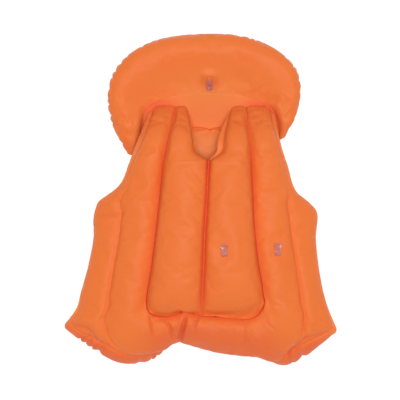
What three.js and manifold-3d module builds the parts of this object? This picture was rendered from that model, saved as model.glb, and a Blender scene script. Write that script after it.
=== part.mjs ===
// Child's inflatable swim vest, lying on its back on a flat surface with the chest up.
// Millimetres. +X is the right side seen from above, +Y points to the collar, +Z is up out of the chest.
// The origin lies on the surface, under the middle of the vest's outline.
import * as THREE from 'three';
import { mergeVertices } from 'three/addons/utils/BufferGeometryUtils.js';
import Module from 'manifold-3d';

const wasm = await Module();
wasm.setup();

// Driving sizes
const FILM_HALF = 0.6; // half of the two welded films at an edge
const SEAM_GAP = 0.8; // clear space along a weld between two chambers
const DOME_POWER = 0.6; // roundness of a blown tube, 0.5 is an ellipse
const STEPS = 2; // stations between two rows of a table
const CHEST_HALF = 26; // half thickness of the fat chest tubes
const LEG_HALF = 20; // half thickness of the tubes beside them
const SIDE_HALF = 16; // half thickness of the tubes at the sides
const COLLAR_HALF = 33;
const COLLAR_WELD_Z = 31; // height of the collar's weld above the surface it lies on
const BACK_HALF = 16;
const BACK_CURL = 9; // how late the back panel turns up to the side weld
const BACK_FLAT = 12; // flat border of the back panel at its sides
const HEM_PULL = 60; // how far up the chest tubes the wave of their lower weld reaches
const HEM_FADE = 1.5; // how quickly that wave dies away
const HEM_SEAM = 0.56; // clear space below the chest tubes at their lower weld
const SIDE_SHARE = 0.08; // least breadth of a side tube, as a share of seam to rim
const PUCKER = 1.3; // height of the gathers along the collar's weld
const PUCKER_HOLD = 6; // how closely the gathers keep to that weld
const PUCKER_FULL = 10; // half thickness from which the gathers are whole
const RIM_BAND = 6; // flat weld border round the collar
const COLLAR_STEPS = 3; // stations between two rows of the collar
const FLAP_ROWS = [3, 14]; // rows of the collar between which its neck flap hangs

// Stations of the front, down the left of the vest, along the hem and up the right.
// seam: the weld to the chest tubes; rim: the outer edge; fork: where the side weld lies from seam to rim;
// weld: how far it is pressed down; leg, side: fullness of the tubes; flat: breadth of the flat border.
const LEFT = [
  { seam: [-33, 110, 36.6], rim: [-65, 112, 36.6], fork: 0.5, weld: 0, leg: 0.03, side: 0.03, flat: 3 },
  { seam: [-33.5, 113, 50], rim: [-68, 115, 50], fork: 0.5, weld: 0, leg: 0.6, side: 0.3, flat: 4 },
  { seam: [-35, 109, 66], rim: [-71, 111, 65], fork: 0.5, weld: 0, leg: 0.78, side: 0.4, flat: 5 },
  { seam: [-38.5, 99, 77], rim: [-76, 98, 74], fork: 0.5, weld: 0, leg: 0.86, side: 0.5, flat: 5 },
  { seam: [-43, 80, 82], rim: [-83, 80, 77], fork: 0.55, weld: 0, leg: 0.88, side: 0.5, flat: 5 },
  { seam: [-46.5, 66, 82.3], rim: [-90.5, 65, 75], fork: 0.6, weld: 0, leg: 0.9, side: 0.5, flat: 5 },
  { seam: [-49.5, 52, 82], rim: [-98, 50.5, 71], fork: 0.66, weld: 0.05, leg: 0.92, side: 0.5, flat: 5 },
  { seam: [-54, 25, 81], rim: [-110, 22, 62], fork: 0.7, weld: 0.3, leg: 0.94, side: 0.6, flat: 5 },
  { seam: [-57, 0, 80], rim: [-137, 0, 50], fork: 0.58, weld: 0.75, leg: 0.96, side: 0.8, flat: 5 },
  { seam: [-59, -15, 79.5], rim: [-148.5, -14, 44.5], fork: 0.52, weld: 0.9, leg: 0.98, side: 0.95, flat: 5 },
  { seam: [-63, -50, 78.5], rim: [-148, -52, 44], fork: 0.57, weld: 0.9, leg: 1, side: 1, flat: 4 },
  { seam: [-68, -90, 77], rim: [-154.5, -90, 44], fork: 0.6, weld: 0.9, leg: 1.02, side: 1, flat: 4 },
  { seam: [-73, -128, 74], rim: [-165.5, -130, 44], fork: 0.57, weld: 0.9, leg: 1.02, side: 1, flat: 4 },
  { seam: [-74, -141, 72.5], rim: [-170, -148, 44], fork: 0.55, weld: 0.9, leg: 1, side: 0.95, flat: 5 },
  { seam: [-72, -148, 71], rim: [-190, -175.5, 44], fork: 0.46, weld: 0.9, leg: 0.98, side: 0.85, flat: 24 },
  { seam: [-68, -154, 70], rim: [-143, -210, 43], fork: 0.72, weld: 0.8, leg: 0.92, side: 0.5, flat: 13 },
  { seam: [-62, -158, 69], rim: [-113, -225.5, 42], fork: 0.7, weld: 0.2, leg: 0.88, side: 0.5, flat: 16 },
  { seam: [-54, -160.5, 68.5], rim: [-85, -226.5, 41], fork: 0.6, weld: 0, leg: 0.84, side: 0.5, flat: 17 },
  { seam: [-45, -160.3, 69], rim: [-61, -218, 45], fork: 0.5, weld: 0, leg: 0.8, side: 0.5, flat: 14 },
];
const HEM = [
  { seam: [-33, -157, 70.5], rim: [-46, -204, 50], fork: 0.5, weld: 0, leg: 0.74, side: 0.5, flat: 8 },
  { seam: [-20, -153, 72.5], rim: [-30, -197.5, 57], fork: 0.5, weld: 0, leg: 0.64, side: 0.5, flat: 4 },
  { seam: [-7, -157.6, 73.6], rim: [-12, -200.5, 62], fork: 0.5, weld: 0, leg: 0.72, side: 0.5, flat: 3 },
  { seam: [4, -159.5, 74], rim: [10, -206.5, 63], fork: 0.5, weld: 0, leg: 0.78, side: 0.5, flat: 3 },
  { seam: [18, -160.5, 74], rim: [36, -212, 60], fork: 0.5, weld: 0, leg: 0.8, side: 0.5, flat: 3 },
  { seam: [34, -161.5, 73], rim: [62, -216, 55], fork: 0.5, weld: 0, leg: 0.82, side: 0.5, flat: 4 },
  { seam: [50, -163, 71.5], rim: [90, -220.5, 48], fork: 0.5, weld: 0, leg: 0.84, side: 0.5, flat: 7 },
];
const RIGHT = [
  { seam: [63, 110, 36.6], rim: [97, 112, 36.6], fork: 0.5, weld: 0, leg: 0.03, side: 0.03, flat: 3 },
  { seam: [63.5, 113, 50], rim: [100, 115, 50], fork: 0.5, weld: 0, leg: 0.6, side: 0.3, flat: 4 },
  { seam: [65, 109, 66], rim: [103, 111, 65], fork: 0.5, weld: 0, leg: 0.78, side: 0.4, flat: 5 },
  { seam: [67.5, 98, 77], rim: [106.5, 98, 74], fork: 0.5, weld: 0, leg: 0.86, side: 0.5, flat: 5 },
  { seam: [71, 78, 82], rim: [111, 78, 77], fork: 0.55, weld: 0, leg: 0.88, side: 0.5, flat: 5 },
  { seam: [72.3, 64, 82.2], rim: [115, 64, 74], fork: 0.6, weld: 0, leg: 0.9, side: 0.5, flat: 5 },
  { seam: [73.3, 51, 82], rim: [120, 50, 70], fork: 0.66, weld: 0.05, leg: 0.92, side: 0.5, flat: 5 },
  { seam: [74, 23, 81], rim: [127.5, 21, 60], fork: 0.74, weld: 0.3, leg: 0.94, side: 0.6, flat: 5 },
  { seam: [74.3, 0, 80], rim: [149.5, -1, 50], fork: 0.63, weld: 0.75, leg: 0.96, side: 0.8, flat: 5 },
  { seam: [75, -16, 79.5], rim: [163.5, -15, 44.5], fork: 0.55, weld: 0.9, leg: 0.98, side: 0.95, flat: 5 },
  { seam: [78, -52, 78.5], rim: [160.5, -52, 44], fork: 0.6, weld: 0.9, leg: 1, side: 1, flat: 4 },
  { seam: [82.5, -90, 77], rim: [164, -90, 44], fork: 0.62, weld: 0.9, leg: 1.02, side: 1, flat: 4 },
  { seam: [87.5, -120, 74.5], rim: [171, -128, 44], fork: 0.61, weld: 0.9, leg: 1.02, side: 1, flat: 4 },
  { seam: [88.3, -131, 73.2], rim: [178, -151.5, 44], fork: 0.58, weld: 0.9, leg: 1, side: 0.95, flat: 5 },
  { seam: [88, -138, 72.2], rim: [191, -181.5, 44], fork: 0.51, weld: 0.9, leg: 0.98, side: 0.85, flat: 24 },
  { seam: [87, -144, 71], rim: [166, -201, 44], fork: 0.68, weld: 0.9, leg: 0.94, side: 0.6, flat: 13 },
  { seam: [84.5, -151, 70], rim: [146, -217.5, 43], fork: 0.7, weld: 0.3, leg: 0.9, side: 0.5, flat: 15 },
  { seam: [79, -158.5, 69.3], rim: [129, -226.5, 42], fork: 0.6, weld: 0, leg: 0.86, side: 0.5, flat: 16 },
  { seam: [66, -164, 69.5], rim: [113, -229.5, 42], fork: 0.5, weld: 0, leg: 0.84, side: 0.5, flat: 13 },
];

// The inner edges of the two chest tubes, row for row with LEFT and RIGHT: two neck edges, then one
// centre weld. full: fullness of the chest tubes.
const NECK = [
  { left: [-15, 110, 36.6], right: [43, 110, 36.6], full: 0.023 },
  { left: [-14, 113, 50], right: [42, 113, 50], full: 0.42 },
  { left: [-13, 110, 67], right: [40, 110, 67], full: 0.54 },
  { left: [-11, 100, 78.5], right: [36, 100, 78.5], full: 0.62 },
  { left: [-7.5, 82, 84.5], right: [30, 82, 84.5], full: 0.68 },
  { left: [-4.5, 66, 86.5], right: [26.5, 66, 86.5], full: 0.74 },
  { both: [11.5, 54, 88.5], full: 0.82 },
  { both: [11.3, 25, 90], full: 0.93 },
  { both: [10.3, 0, 91], full: 0.98 },
  { both: [9.5, -15, 91.3], full: 1 },
  { both: [7, -50, 91.3], full: 1.02 },
  { both: [5, -90, 88.5], full: 1 },
  { both: [3.5, -124, 83.5], full: 0.91 },
  { both: [3.3, -136, 80.8], full: 0.77 },
  { both: [3.4, -144, 78.6], full: 0.6 },
  { both: [3.5, -150, 76.8], full: 0.43 },
  { both: [3.7, -154.5, 75.4], full: 0.2 },
  { both: [3.9, -157.5, 74.5], full: 0.04 },
  { both: [4, -159.5, 74], full: 0.023 },
];

// The hidden back, from the shoulders to its hem. weld: how far the two plain welds are pressed down.
const BACK = [
  {
    outL: [-65, 111, 35.9], left: [-15, 111, 35.9], right: [43, 111, 35.9], outR: [97, 111, 35.9],
    full: 0.035, weld: 0,
  },
  {
    outL: [-67, 112.5, 26], left: [-14, 112.5, 26], right: [42, 112.5, 26], outR: [100, 112.5, 26],
    full: 0.5, weld: 0,
  },
  {
    outL: [-70, 104, 17.5], left: [-12.5, 104, 17.5], right: [39.5, 104, 17.5], outR: [103, 104, 17.5],
    full: 0.82, weld: 0,
  },
  { outL: [-77, 88, 14.5], both: [14, 99, 14.5], outR: [105.5, 88, 14.5], full: 0.95, weld: 0.3 },
  { outL: [-86, 66, 14.5], both: [14, 70, 14.5], outR: [110, 66, 14.5], full: 1, weld: 0.9 },
  { outL: [-101, 38, 17], both: [13, 38, 14.5], outR: [117, 40, 17], full: 1, weld: 0.9 },
  { outL: [-116, 10, 22], both: [11, 8, 14.5], outR: [130, 10, 22], full: 1, weld: 0.9 },
  { outL: [-133, -4, 36], both: [9.5, -8, 14.5], outR: [146, -4, 36], full: 1, weld: 0.9 },
  { outL: [-147.8, -15, 42.9], both: [8.5, -21, 14.5], outR: [162.8, -16, 42.9], full: 1, weld: 0.9 },
  { outL: [-147.3, -52, 43], both: [7, -55, 14.5], outR: [159.8, -52, 43], full: 1, weld: 0.9 },
  { outL: [-153.8, -90, 43], both: [5, -92, 14.5], outR: [163.3, -90, 43], full: 1, weld: 0.9 },
  { outL: [-164.8, -130, 43], both: [4, -132, 14.5], outR: [170.2, -128, 43], full: 1, weld: 0.9 },
  { outL: [-169, -150, 42.5], both: [4, -158, 14.5], outR: [177, -151, 42.5], full: 0.95, weld: 0.9 },
  { outL: [-160, -173, 40], both: [4, -177, 14.5], outR: [167, -173, 40], full: 0.74, weld: 0.9 },
  { outL: [-152, -182, 37], both: [4, -187, 14.5], outR: [159, -182, 37], full: 0.5, weld: 0.9 },
  { outL: [-146, -186, 35], both: [4, -190, 14.5], outR: [152, -186, 35], full: 0.035, weld: 0.9 },
];

// The collar, from its left tip round the head to its right tip. out, in: its two welds on the surface plan;
// full: fullness; flap: where the flat film ends inside the weld, with its height.
const COLLAR = [
  { out: [-95, 62], in: [-91, 60.5], full: 0.03, flap: [-90, 60.3, 31] },
  { out: [-106, 82], in: [-86, 77], full: 0.4, flap: [-83.5, 76.3, 31] },
  { out: [-116, 103], in: [-81.5, 96], full: 0.64, flap: [-79, 95.5, 31] },
  { out: [-122, 126], in: [-79, 112], full: 0.79, flap: [-75, 110, 31] },
  { out: [-122.5, 149], in: [-75, 127], full: 0.9, flap: [-70.5, 115.5, 33] },
  { out: [-115.5, 174], in: [-65, 135], full: 0.97, flap: [-61, 117.5, 34.5] },
  { out: [-95, 197.5], in: [-50, 140.5], full: 1, flap: [-38, 117.5, 34.5] },
  { out: [-65, 214.5], in: [-32, 144.5], full: 1, flap: [-17, 117.5, 32] },
  { out: [-28, 222.5], in: [-10, 147], full: 1, flap: [-8.5, 106, 17.2] },
  { out: [14, 225], in: [14, 148], full: 1, flap: [14, 100.3, 16.1] },
  { out: [55, 222.5], in: [38, 147], full: 1, flap: [35, 106, 17.2] },
  { out: [87, 212.5], in: [60, 144], full: 1, flap: [45, 117.5, 32] },
  { out: [113, 196.5], in: [80, 138.5], full: 0.99, flap: [68, 117.5, 34.5] },
  { out: [130, 177], in: [94, 132], full: 0.95, flap: [92, 117.5, 34.5] },
  { out: [135, 154.5], in: [102, 124], full: 0.87, flap: [101, 115.5, 33] },
  { out: [132.5, 133], in: [106, 113], full: 0.74, flap: [103, 110.5, 31] },
  { out: [126, 111.5], in: [109, 100], full: 0.53, flap: [106.8, 99, 31] },
  { out: [113, 84.5], in: [110, 83], full: 0.03, flap: [109.2, 82.6, 31] },
];

// The three valves: where each one stands on the plan, how deep it is pressed in, and its strap's turn.
const VALVES = [
  { name: 'collar', x: 13, y: 159, sunk: 9, strapTurn: 0 },
  { name: 'inner', x: 34, y: -64, sunk: 2, strapTurn: 0 },
  { name: 'outer', x: 106, y: -64, sunk: 2, strapTurn: 0 },
];
const VALVE = {
  baseRadius: 9,
  baseThick: 1.2,
  stemRadius: 4.4,
  stemHeight: 8.5,
  boreRadius: 2.9,
  pinRadius: 2.4,
  pinLength: 5,
  capRadius: 5.2,
  capThick: 2.6,
  strapWide: 4.2,
  strapThick: 1.4,
  strapReach: 7.6,
  strapLap: 1,
  strapTuck: 2,
  strapRise: 0.4,
  strapFold: 3,
  bevel: 0.8,
  pinTaper: 0.5,
  clear: 0.3,
  sides: 10,
};
const SEAT = { room: 0.6, flare: 0.8, strapRoom: 0.7, depth: 48.5 }; // the pressed place round a valve
const ABOVE = 400; // a height over everything, to look down from

const lerp = THREE.MathUtils.lerp;
const dome = (u) => Math.pow(Math.max(0, 1 - u * u), DOME_POWER);
const cosine = (k, count) => 0.5 - 0.5 * Math.cos((Math.PI * k) / count);
const guide = (points) => new THREE.CatmullRomCurve3(points.map((p) => new THREE.Vector3(...p)));

// A scalar column of a table, between its rows.
function level(rows, column, t) {
  const place = t * (rows.length - 1);
  const row = Math.min(Math.floor(place), rows.length - 2);
  return lerp(rows[row][column], rows[row + 1][column], place - row);
}

// Directions square to a grid of points, on the side that faces up on the chest.
function gridNormals(points) {
  const last = points.length - 1;
  return points.map((line, i) =>
    line.map((point, j) => {
      const end = line.length - 1;
      const before = Math.max(Math.min(i - 1, last - 2), 0);
      const along = points[Math.min(i + 1, last)][j].clone().sub(points[before][j]);
      const across = line[Math.min(j + 1, end)].clone().sub(line[Math.max(j - 1, 0)]);
      return across.cross(along).normalize();
    }),
  );
}

// Two films a stated half thickness away from a grid of middle points; what lies on the surface is flat.
function films(grid) {
  const film = (side) =>
    grid.points.map((line, i) =>
      line.map((point, j) => {
        const at = point.clone().addScaledVector(grid.normals[i][j], side * grid.half[i][j]);
        at.z = Math.max(at.z, 0);
        return at;
      }),
    );
  return { top: film(1), bottom: film(-1) };
}

// The skin of one or more grids, closed round the edges that no other grid shares.
class Skin {
  constructor() {
    this.corners = [];
  }
  quad(a, b, c, d) {
    for (const p of [a, b, c, a, c, d]) this.corners.push(p.x, p.y, p.z);
  }
  add({ top, bottom }, sharedFirst = () => false, sharedLast = () => false) {
    const rows = top.length - 1;
    const ends = top[0].length - 1;
    for (let i = 0; i < rows; i += 1) {
      for (let j = 0; j < ends; j += 1) {
        this.quad(top[i][j], top[i][j + 1], top[i + 1][j + 1], top[i + 1][j]);
        this.quad(bottom[i][j], bottom[i + 1][j], bottom[i + 1][j + 1], bottom[i][j + 1]);
      }
      if (!sharedFirst(i)) this.quad(top[i][0], top[i + 1][0], bottom[i + 1][0], bottom[i][0]);
      if (!sharedLast(i)) this.quad(top[i][ends], bottom[i][ends], bottom[i + 1][ends], top[i + 1][ends]);
    }
    for (let j = 0; j < ends; j += 1) {
      this.quad(top[0][j], bottom[0][j], bottom[0][j + 1], top[0][j + 1]);
      this.quad(top[rows][j], top[rows][j + 1], bottom[rows][j + 1], bottom[rows][j]);
    }
  }
  geometry() {
    const shape = new THREE.BufferGeometry();
    shape.setAttribute('position', new THREE.Float32BufferAttribute(this.corners, 3));
    return mergeVertices(shape, 1e-3);
  }
}

// One grid of middle points with its half thicknesses, as a closed skin.
function gridSkin(points, half) {
  const skin = new Skin();
  skin.add(films({ points, half, normals: gridNormals(points) }));
  return skin.geometry();
}

// The weld between the chest tubes and the tubes beside them, shared by both chambers.
const FRONT = [...LEFT, ...HEM, ...RIGHT.slice().reverse()];
const seamCurve = guide(FRONT.map((row) => row.seam));
const rimCurve = guide(FRONT.map((row) => row.rim));
const LAST_ROW = FRONT.length - 1;
const CENTRE_ROW = LEFT.length + (HEM.length - 1) / 2;

function outerChamber() {
  const legColumns = 5;
  const sideColumns = 4;
  const stations = LAST_ROW * STEPS;
  const points = [];
  const half = [];
  for (let i = 0; i <= stations; i += 1) {
    const t = i / stations;
    const seam = seamCurve.getPoint(t);
    const rim = rimCurve.getPoint(t);
    const width = seam.distanceTo(rim);
    const start = SEAM_GAP / 2 / width;
    const edge = 1 - level(FRONT, 'flat', t) / width;
    const fork = Math.min(level(FRONT, 'fork', t), edge - SIDE_SHARE);
    const weld = level(FRONT, 'weld', t);
    const fractions = [];
    for (let k = 0; k <= legColumns; k += 1) fractions.push(lerp(start, fork, cosine(k, legColumns)));
    for (let k = 1; k <= sideColumns; k += 1) fractions.push(lerp(fork, edge, cosine(k, sideColumns)));
    fractions.push(1);
    const halfAt = (s) => {
      if (s >= edge) return FILM_HALF;
      const leg = LEG_HALF * level(FRONT, 'leg', t);
      const side = SIDE_HALF * level(FRONT, 'side', t);
      const whole = leg * dome((2 * (s - start)) / (edge - start) - 1);
      const forked =
        s < fork
          ? leg * dome((2 * (s - start)) / (fork - start) - 1)
          : side * dome((2 * (s - fork)) / (edge - fork) - 1);
      return Math.max(FILM_HALF, lerp(whole, forked, weld));
    };
    points.push(fractions.map((s) => seam.clone().lerp(rim, s)));
    half.push(fractions.map(halfAt));
  }
  return gridSkin(points, half);
}

// Two halves that share a middle edge below the neck. Each half is a grid from its own outer edge inwards,
// turned so that both face up.
function pairedPanel(leftGrid, rightGrid, firstShared) {
  leftGrid.normals = gridNormals(leftGrid.points).map((line) => line.map((n) => n.negate()));
  rightGrid.normals = gridNormals(rightGrid.points);
  const end = leftGrid.points[0].length - 1;
  for (let i = firstShared; i < leftGrid.points.length; i += 1) {
    const middle = leftGrid.normals[i][end].clone().add(rightGrid.normals[i][end]).normalize();
    leftGrid.normals[i][end].copy(middle);
    rightGrid.normals[i][end].copy(middle);
  }
  const shared = (i) => i >= firstShared;
  const skin = new Skin();
  const mirrored = (grid) => grid.map((line) => line.slice().reverse());
  const left = films(leftGrid);
  const right = films(rightGrid);
  skin.add({ top: mirrored(left.top), bottom: mirrored(left.bottom) }, shared);
  skin.add({ top: right.top, bottom: right.bottom }, undefined, shared);
  return skin.geometry();
}

function firstBoth(rows) {
  return rows.findIndex((row) => row.both);
}

// The inner edge of one half: its own neck edge down to the first shared row, then the shared middle edge.
function innerEdge(rows, side) {
  const first = firstBoth(rows);
  const last = rows.length - 1;
  const neck = guide(rows.slice(0, first + 1).map((row) => row.both || row[side]));
  const middle = guide(rows.slice(first).map((row) => row.both));
  return (t) => {
    const place = t * last;
    return place <= first ? neck.getPoint(place / first) : middle.getPoint((place - first) / (last - first));
  };
}

function innerChamber() {
  const columns = 8;
  const rows = NECK.length - 1;
  const stations = rows * STEPS;
  const half = (side) => {
    const atRow = (row) => (side === 'left' ? row : LAST_ROW - row);
    const innerAt = innerEdge(NECK, side);
    const grid = { points: [], half: [] };
    const corner = seamCurve.getPoint(atRow(rows) / LAST_ROW);
    const centre = innerAt(1);
    for (let i = 0; i <= stations; i += 1) {
      const t = i / stations;
      const outer = seamCurve.getPoint(atRow(rows * t) / LAST_ROW);
      const inner = innerAt(t);
      const hem = Math.pow(Math.max(0, 1 - (inner.y - centre.y) / HEM_PULL), HEM_FADE);
      const line = [];
      for (let k = 0; k <= columns; k += 1) {
        const u = lerp(cosine(k, columns), k / columns, hem);
        const along = seamCurve.getPoint(lerp(atRow(rows), CENTRE_ROW, k / columns) / LAST_ROW);
        const wave = along.sub(corner.clone().lerp(centre, k / columns)).multiplyScalar(hem);
        line.push(outer.clone().lerp(inner, u).add(wave));
      }
      const inset = line[1].clone().sub(line[0]).setLength(SEAM_GAP / 2);
      line[0].add(inset);
      line.forEach((p) => (p.y += hem * HEM_SEAM));
      grid.points.push(line);
      const full = CHEST_HALF * level(NECK, 'full', t);
      const across = (k) => lerp(cosine(k, columns), k / columns, hem);
      grid.half.push(line.map((p, k) => Math.max(FILM_HALF, full * dome(2 * across(k) - 1))));
    }
    return grid;
  };
  return pairedPanel(half('left'), half('right'), firstBoth(NECK) * STEPS);
}

function backPanel() {
  const columns = 10;
  const stations = BACK.length - 1;
  const half = (side, outside) => {
    const outerCurve = guide(BACK.map((row) => row[outside]));
    const innerAt = innerEdge(BACK, side);
    const grid = { points: [], half: [] };
    for (let i = 0; i <= stations; i += 1) {
      const t = i / stations;
      const outer = outerCurve.getPoint(t);
      const inner = innerAt(t);
      const full = BACK_HALF * level(BACK, 'full', t);
      const weld = level(BACK, 'weld', t);
      const line = [];
      const thick = [];
      const border = BACK_FLAT / outer.distanceTo(inner);
      const place = (u) => {
        const at = outer.clone().lerp(inner, u);
        at.z = lerp(inner.z, outer.z, Math.pow(1 - u, BACK_CURL));
        return at;
      };
      line.push(outer);
      thick.push(FILM_HALF);
      for (let k = 0; k <= columns; k += 1) {
        const tube = k <= columns / 2 ? 0 : 1;
        const u = 0.5 * (tube + cosine(k - (tube * columns) / 2, columns / 2));
        line.push(place(lerp(border, 1, u)));
        thick.push(Math.max(FILM_HALF, full * lerp(dome(2 * u - 1), dome(4 * u - 2 * tube - 1), weld)));
      }
      grid.points.push(line);
      grid.half.push(thick);
    }
    return grid;
  };
  return pairedPanel(half('left', 'outL'), half('right', 'outR'), firstBoth(BACK));
}

const onWeld = (p) => [p[0], p[1], COLLAR_WELD_Z];
const collarOut = guide(COLLAR.map((row) => onWeld(row.out)));
const collarIn = guide(COLLAR.map((row) => onWeld(row.in)));
const collarFlap = guide(COLLAR.map((row) => row.flap));
const collarStations = (COLLAR.length - 1) * COLLAR_STEPS;

function collar() {
  const columns = 9;
  const points = [];
  const half = [];
  for (let i = 0; i <= collarStations; i += 1) {
    const t = i / collarStations;
    const out = collarOut.getPoint(t);
    const inside = collarIn.getPoint(t);
    const full = COLLAR_HALF * level(COLLAR, 'full', t);
    const gather = (i % 2 ? 1 : -1) * PUCKER * Math.min(1, full / PUCKER_FULL);
    const line = [];
    const thick = [];
    for (let k = 0; k <= columns; k += 1) {
      const u = cosine(k, columns);
      const at = inside.clone().lerp(out, u);
      at.z += gather * Math.pow(u, PUCKER_HOLD);
      line.push(at);
      thick.push(Math.max(FILM_HALF, full * dome(2 * u - 1) + gather * Math.pow(u, 2) * (1 - u)));
    }
    const rim = out.clone().sub(inside).setLength(RIM_BAND).add(out);
    rim.z += gather;
    line.push(rim);
    thick.push(FILM_HALF);
    points.push(line);
    half.push(thick);
  }
  return gridSkin(points, half);
}

// The flat film that hangs inside the collar's inner weld, down to the back of the neck.
function neckFlap() {
  const columns = 2;
  const points = [];
  const half = [];
  for (let i = FLAP_ROWS[0] * COLLAR_STEPS; i <= FLAP_ROWS[1] * COLLAR_STEPS; i += 1) {
    const t = i / collarStations;
    const weld = collarIn.getPoint(t);
    const end = collarFlap.getPoint(t);
    const start = SEAM_GAP / 2 / weld.distanceTo(end);
    const line = [];
    for (let k = columns; k >= 0; k -= 1) line.push(weld.clone().lerp(end, lerp(start, 1, k / columns)));
    points.push(line);
    half.push(line.map(() => FILM_HALF));
  }
  return gridSkin(points, half);
}

const toSolid = (geometry) =>
  new wasm.Manifold(
    new wasm.Mesh({
      numProp: 3,
      vertProperties: geometry.attributes.position.array,
      triVerts: new Uint32Array(geometry.index.array),
    }),
  );

function fromSolid(solid) {
  const mesh = solid.getMesh();
  const shape = new THREE.BufferGeometry();
  shape.setAttribute('position', new THREE.Float32BufferAttribute(mesh.vertProperties, 3));
  shape.setIndex(new THREE.Uint32BufferAttribute(mesh.triVerts, 1));
  return shape;
}

// A turned piece about +Z from rows of radius and height.
function turned(rows) {
  const shape = new THREE.LatheGeometry(
    rows.map(([radius, height]) => new THREE.Vector2(radius, height)),
    VALVE.sides,
  );
  shape.rotateX(Math.PI / 2);
  shape.deleteAttribute('normal');
  shape.deleteAttribute('uv');
  return mergeVertices(shape, 1e-3);
}

function valveBody() {
  const v = VALVE;
  return turned([
    [v.boreRadius, 0],
    [v.baseRadius, 0],
    [v.baseRadius, v.baseThick],
    [v.stemRadius + v.bevel, v.baseThick],
    [v.stemRadius, v.baseThick + v.bevel],
    [v.stemRadius, v.stemHeight],
    [v.boreRadius, v.stemHeight],
    [v.boreRadius, 0],
  ]);
}

// The strap seen from its side: out from the cap, round its fold and back in over the base.
function strapOutline(seat) {
  const v = VALVE;
  const capEnd = v.capRadius - v.strapLap;
  const baseEnd = v.baseRadius - v.strapTuck;
  const outer = v.capRadius + v.strapReach;
  const low = v.baseThick + v.clear;
  const outline = new THREE.Shape();
  outline.moveTo(capEnd, seat + v.strapRise);
  outline.lineTo(outer - v.strapFold, seat - v.strapRise);
  outline.lineTo(outer - v.strapThick, seat - v.strapFold);
  outline.lineTo(outer - v.strapThick - v.strapRise, low + v.strapThick);
  outline.lineTo(baseEnd, low + v.strapThick + v.strapRise);
  outline.lineTo(baseEnd, low);
  outline.lineTo(outer - 2 * v.strapRise, low);
  outline.lineTo(outer, seat - v.strapFold);
  outline.lineTo(outer - v.strapFold + 2 * v.strapRise, seat + 2 * v.strapRise);
  outline.lineTo(capEnd, seat + v.strapRise + v.strapThick);
  outline.closePath();
  return outline;
}

// The plug in the stem, with the flat strap that keeps it on the valve.
function valvePlug() {
  const v = VALVE;
  const seat = v.stemHeight + v.clear;
  const top = seat + v.capThick;
  const tip = seat - v.pinLength;
  const plug = turned([
    [0, tip],
    [v.pinRadius - v.pinTaper, tip],
    [v.pinRadius, tip + 2 * v.pinTaper],
    [v.pinRadius, seat],
    [v.capRadius, seat],
    [v.capRadius, top - v.bevel],
    [v.capRadius - v.bevel, top],
    [0, top],
  ]);
  const strap = new THREE.ExtrudeGeometry(strapOutline(seat), { depth: v.strapWide, bevelEnabled: false });
  strap.translate(0, 0, -v.strapWide / 2);
  strap.rotateX(Math.PI / 2);
  strap.rotateZ(-Math.PI / 2);
  strap.deleteAttribute('normal');
  strap.deleteAttribute('uv');
  return fromSolid(toSolid(plug).add(toSolid(mergeVertices(strap, 1e-3))));
}

const colours = { film: '#f07d42', clear: '#c88c8a' };
const plastic = (name, color, roughness) => new THREE.MeshStandardMaterial({ name, color, roughness });
const filmMaterial = () => plastic('orange_film', colours.film, 0.45);
const clearMaterial = () => plastic('clear_valve', colours.clear, 0.2);

function named(name, geometry, material) {
  const mesh = new THREE.Mesh(geometry, material);
  mesh.name = name;
  return mesh;
}

// Where a valve stands on a chamber: the middle of the film round its place, and the way out of it.
function seatOf(mesh, valve) {
  const caster = new THREE.Raycaster();
  const down = new THREE.Vector3(0, 0, -1);
  const hit = (x, y) => {
    caster.set(new THREE.Vector3(x, y, ABOVE), down);
    return caster.intersectObject(mesh)[0].point;
  };
  const around = 8;
  const ring = [];
  for (let k = 0; k < around; k += 1) {
    const turn = (2 * Math.PI * k) / around;
    ring.push(hit(valve.x + VALVE.baseRadius * Math.cos(turn), valve.y + VALVE.baseRadius * Math.sin(turn)));
  }
  const east = ring[0].clone().sub(ring[around / 2]);
  const north = ring[around / 4].clone().sub(ring[(3 * around) / 4]);
  return { point: hit(valve.x, valve.y), normal: east.cross(north).normalize() };
}

function frameOn(seat, valve, depth) {
  const turn = new THREE.Quaternion().setFromUnitVectors(new THREE.Vector3(0, 0, 1), seat.normal);
  const spin = new THREE.Quaternion().setFromAxisAngle(new THREE.Vector3(0, 0, 1), valve.strapTurn);
  const place = seat.point.clone().addScaledVector(seat.normal, -depth);
  return new THREE.Matrix4().compose(place, turn.multiply(spin), new THREE.Vector3(1, 1, 1));
}

// A flat-bottomed seat pressed into the film, wide enough for the valve's base and its strap.
function pressSeat(mesh, matrix) {
  const v = VALVE;
  const round = turned([
    [0, -v.clear],
    [v.baseRadius + SEAT.room, -v.clear],
    [v.baseRadius + SEAT.room + SEAT.flare, SEAT.depth],
    [0, SEAT.depth],
  ]);
  const reach = v.capRadius + v.strapReach + SEAT.strapRoom;
  const slot = new THREE.BoxGeometry(v.strapWide + 2 * SEAT.strapRoom, reach, SEAT.depth + v.clear);
  slot.translate(0, -reach / 2, (SEAT.depth - v.clear) / 2);
  slot.deleteAttribute('normal');
  slot.deleteAttribute('uv');
  const tool = toSolid(round).add(toSolid(mergeVertices(slot, 1e-3)));
  const placed = fromSolid(tool).applyMatrix4(matrix);
  mesh.geometry = fromSolid(toSolid(mesh.geometry).subtract(toSolid(placed)));
}

const chambers = {
  collar: named('collar', collar(), filmMaterial()),
  inner: named('inner_chamber', innerChamber(), filmMaterial()),
  outer: named('outer_chamber', outerChamber(), filmMaterial()),
};

const vest = new THREE.Group();
vest.name = 'swim_vest';
vest.add(named('back_panel', backPanel(), filmMaterial()));
vest.add(named('neck_flap', neckFlap(), filmMaterial()));

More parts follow.
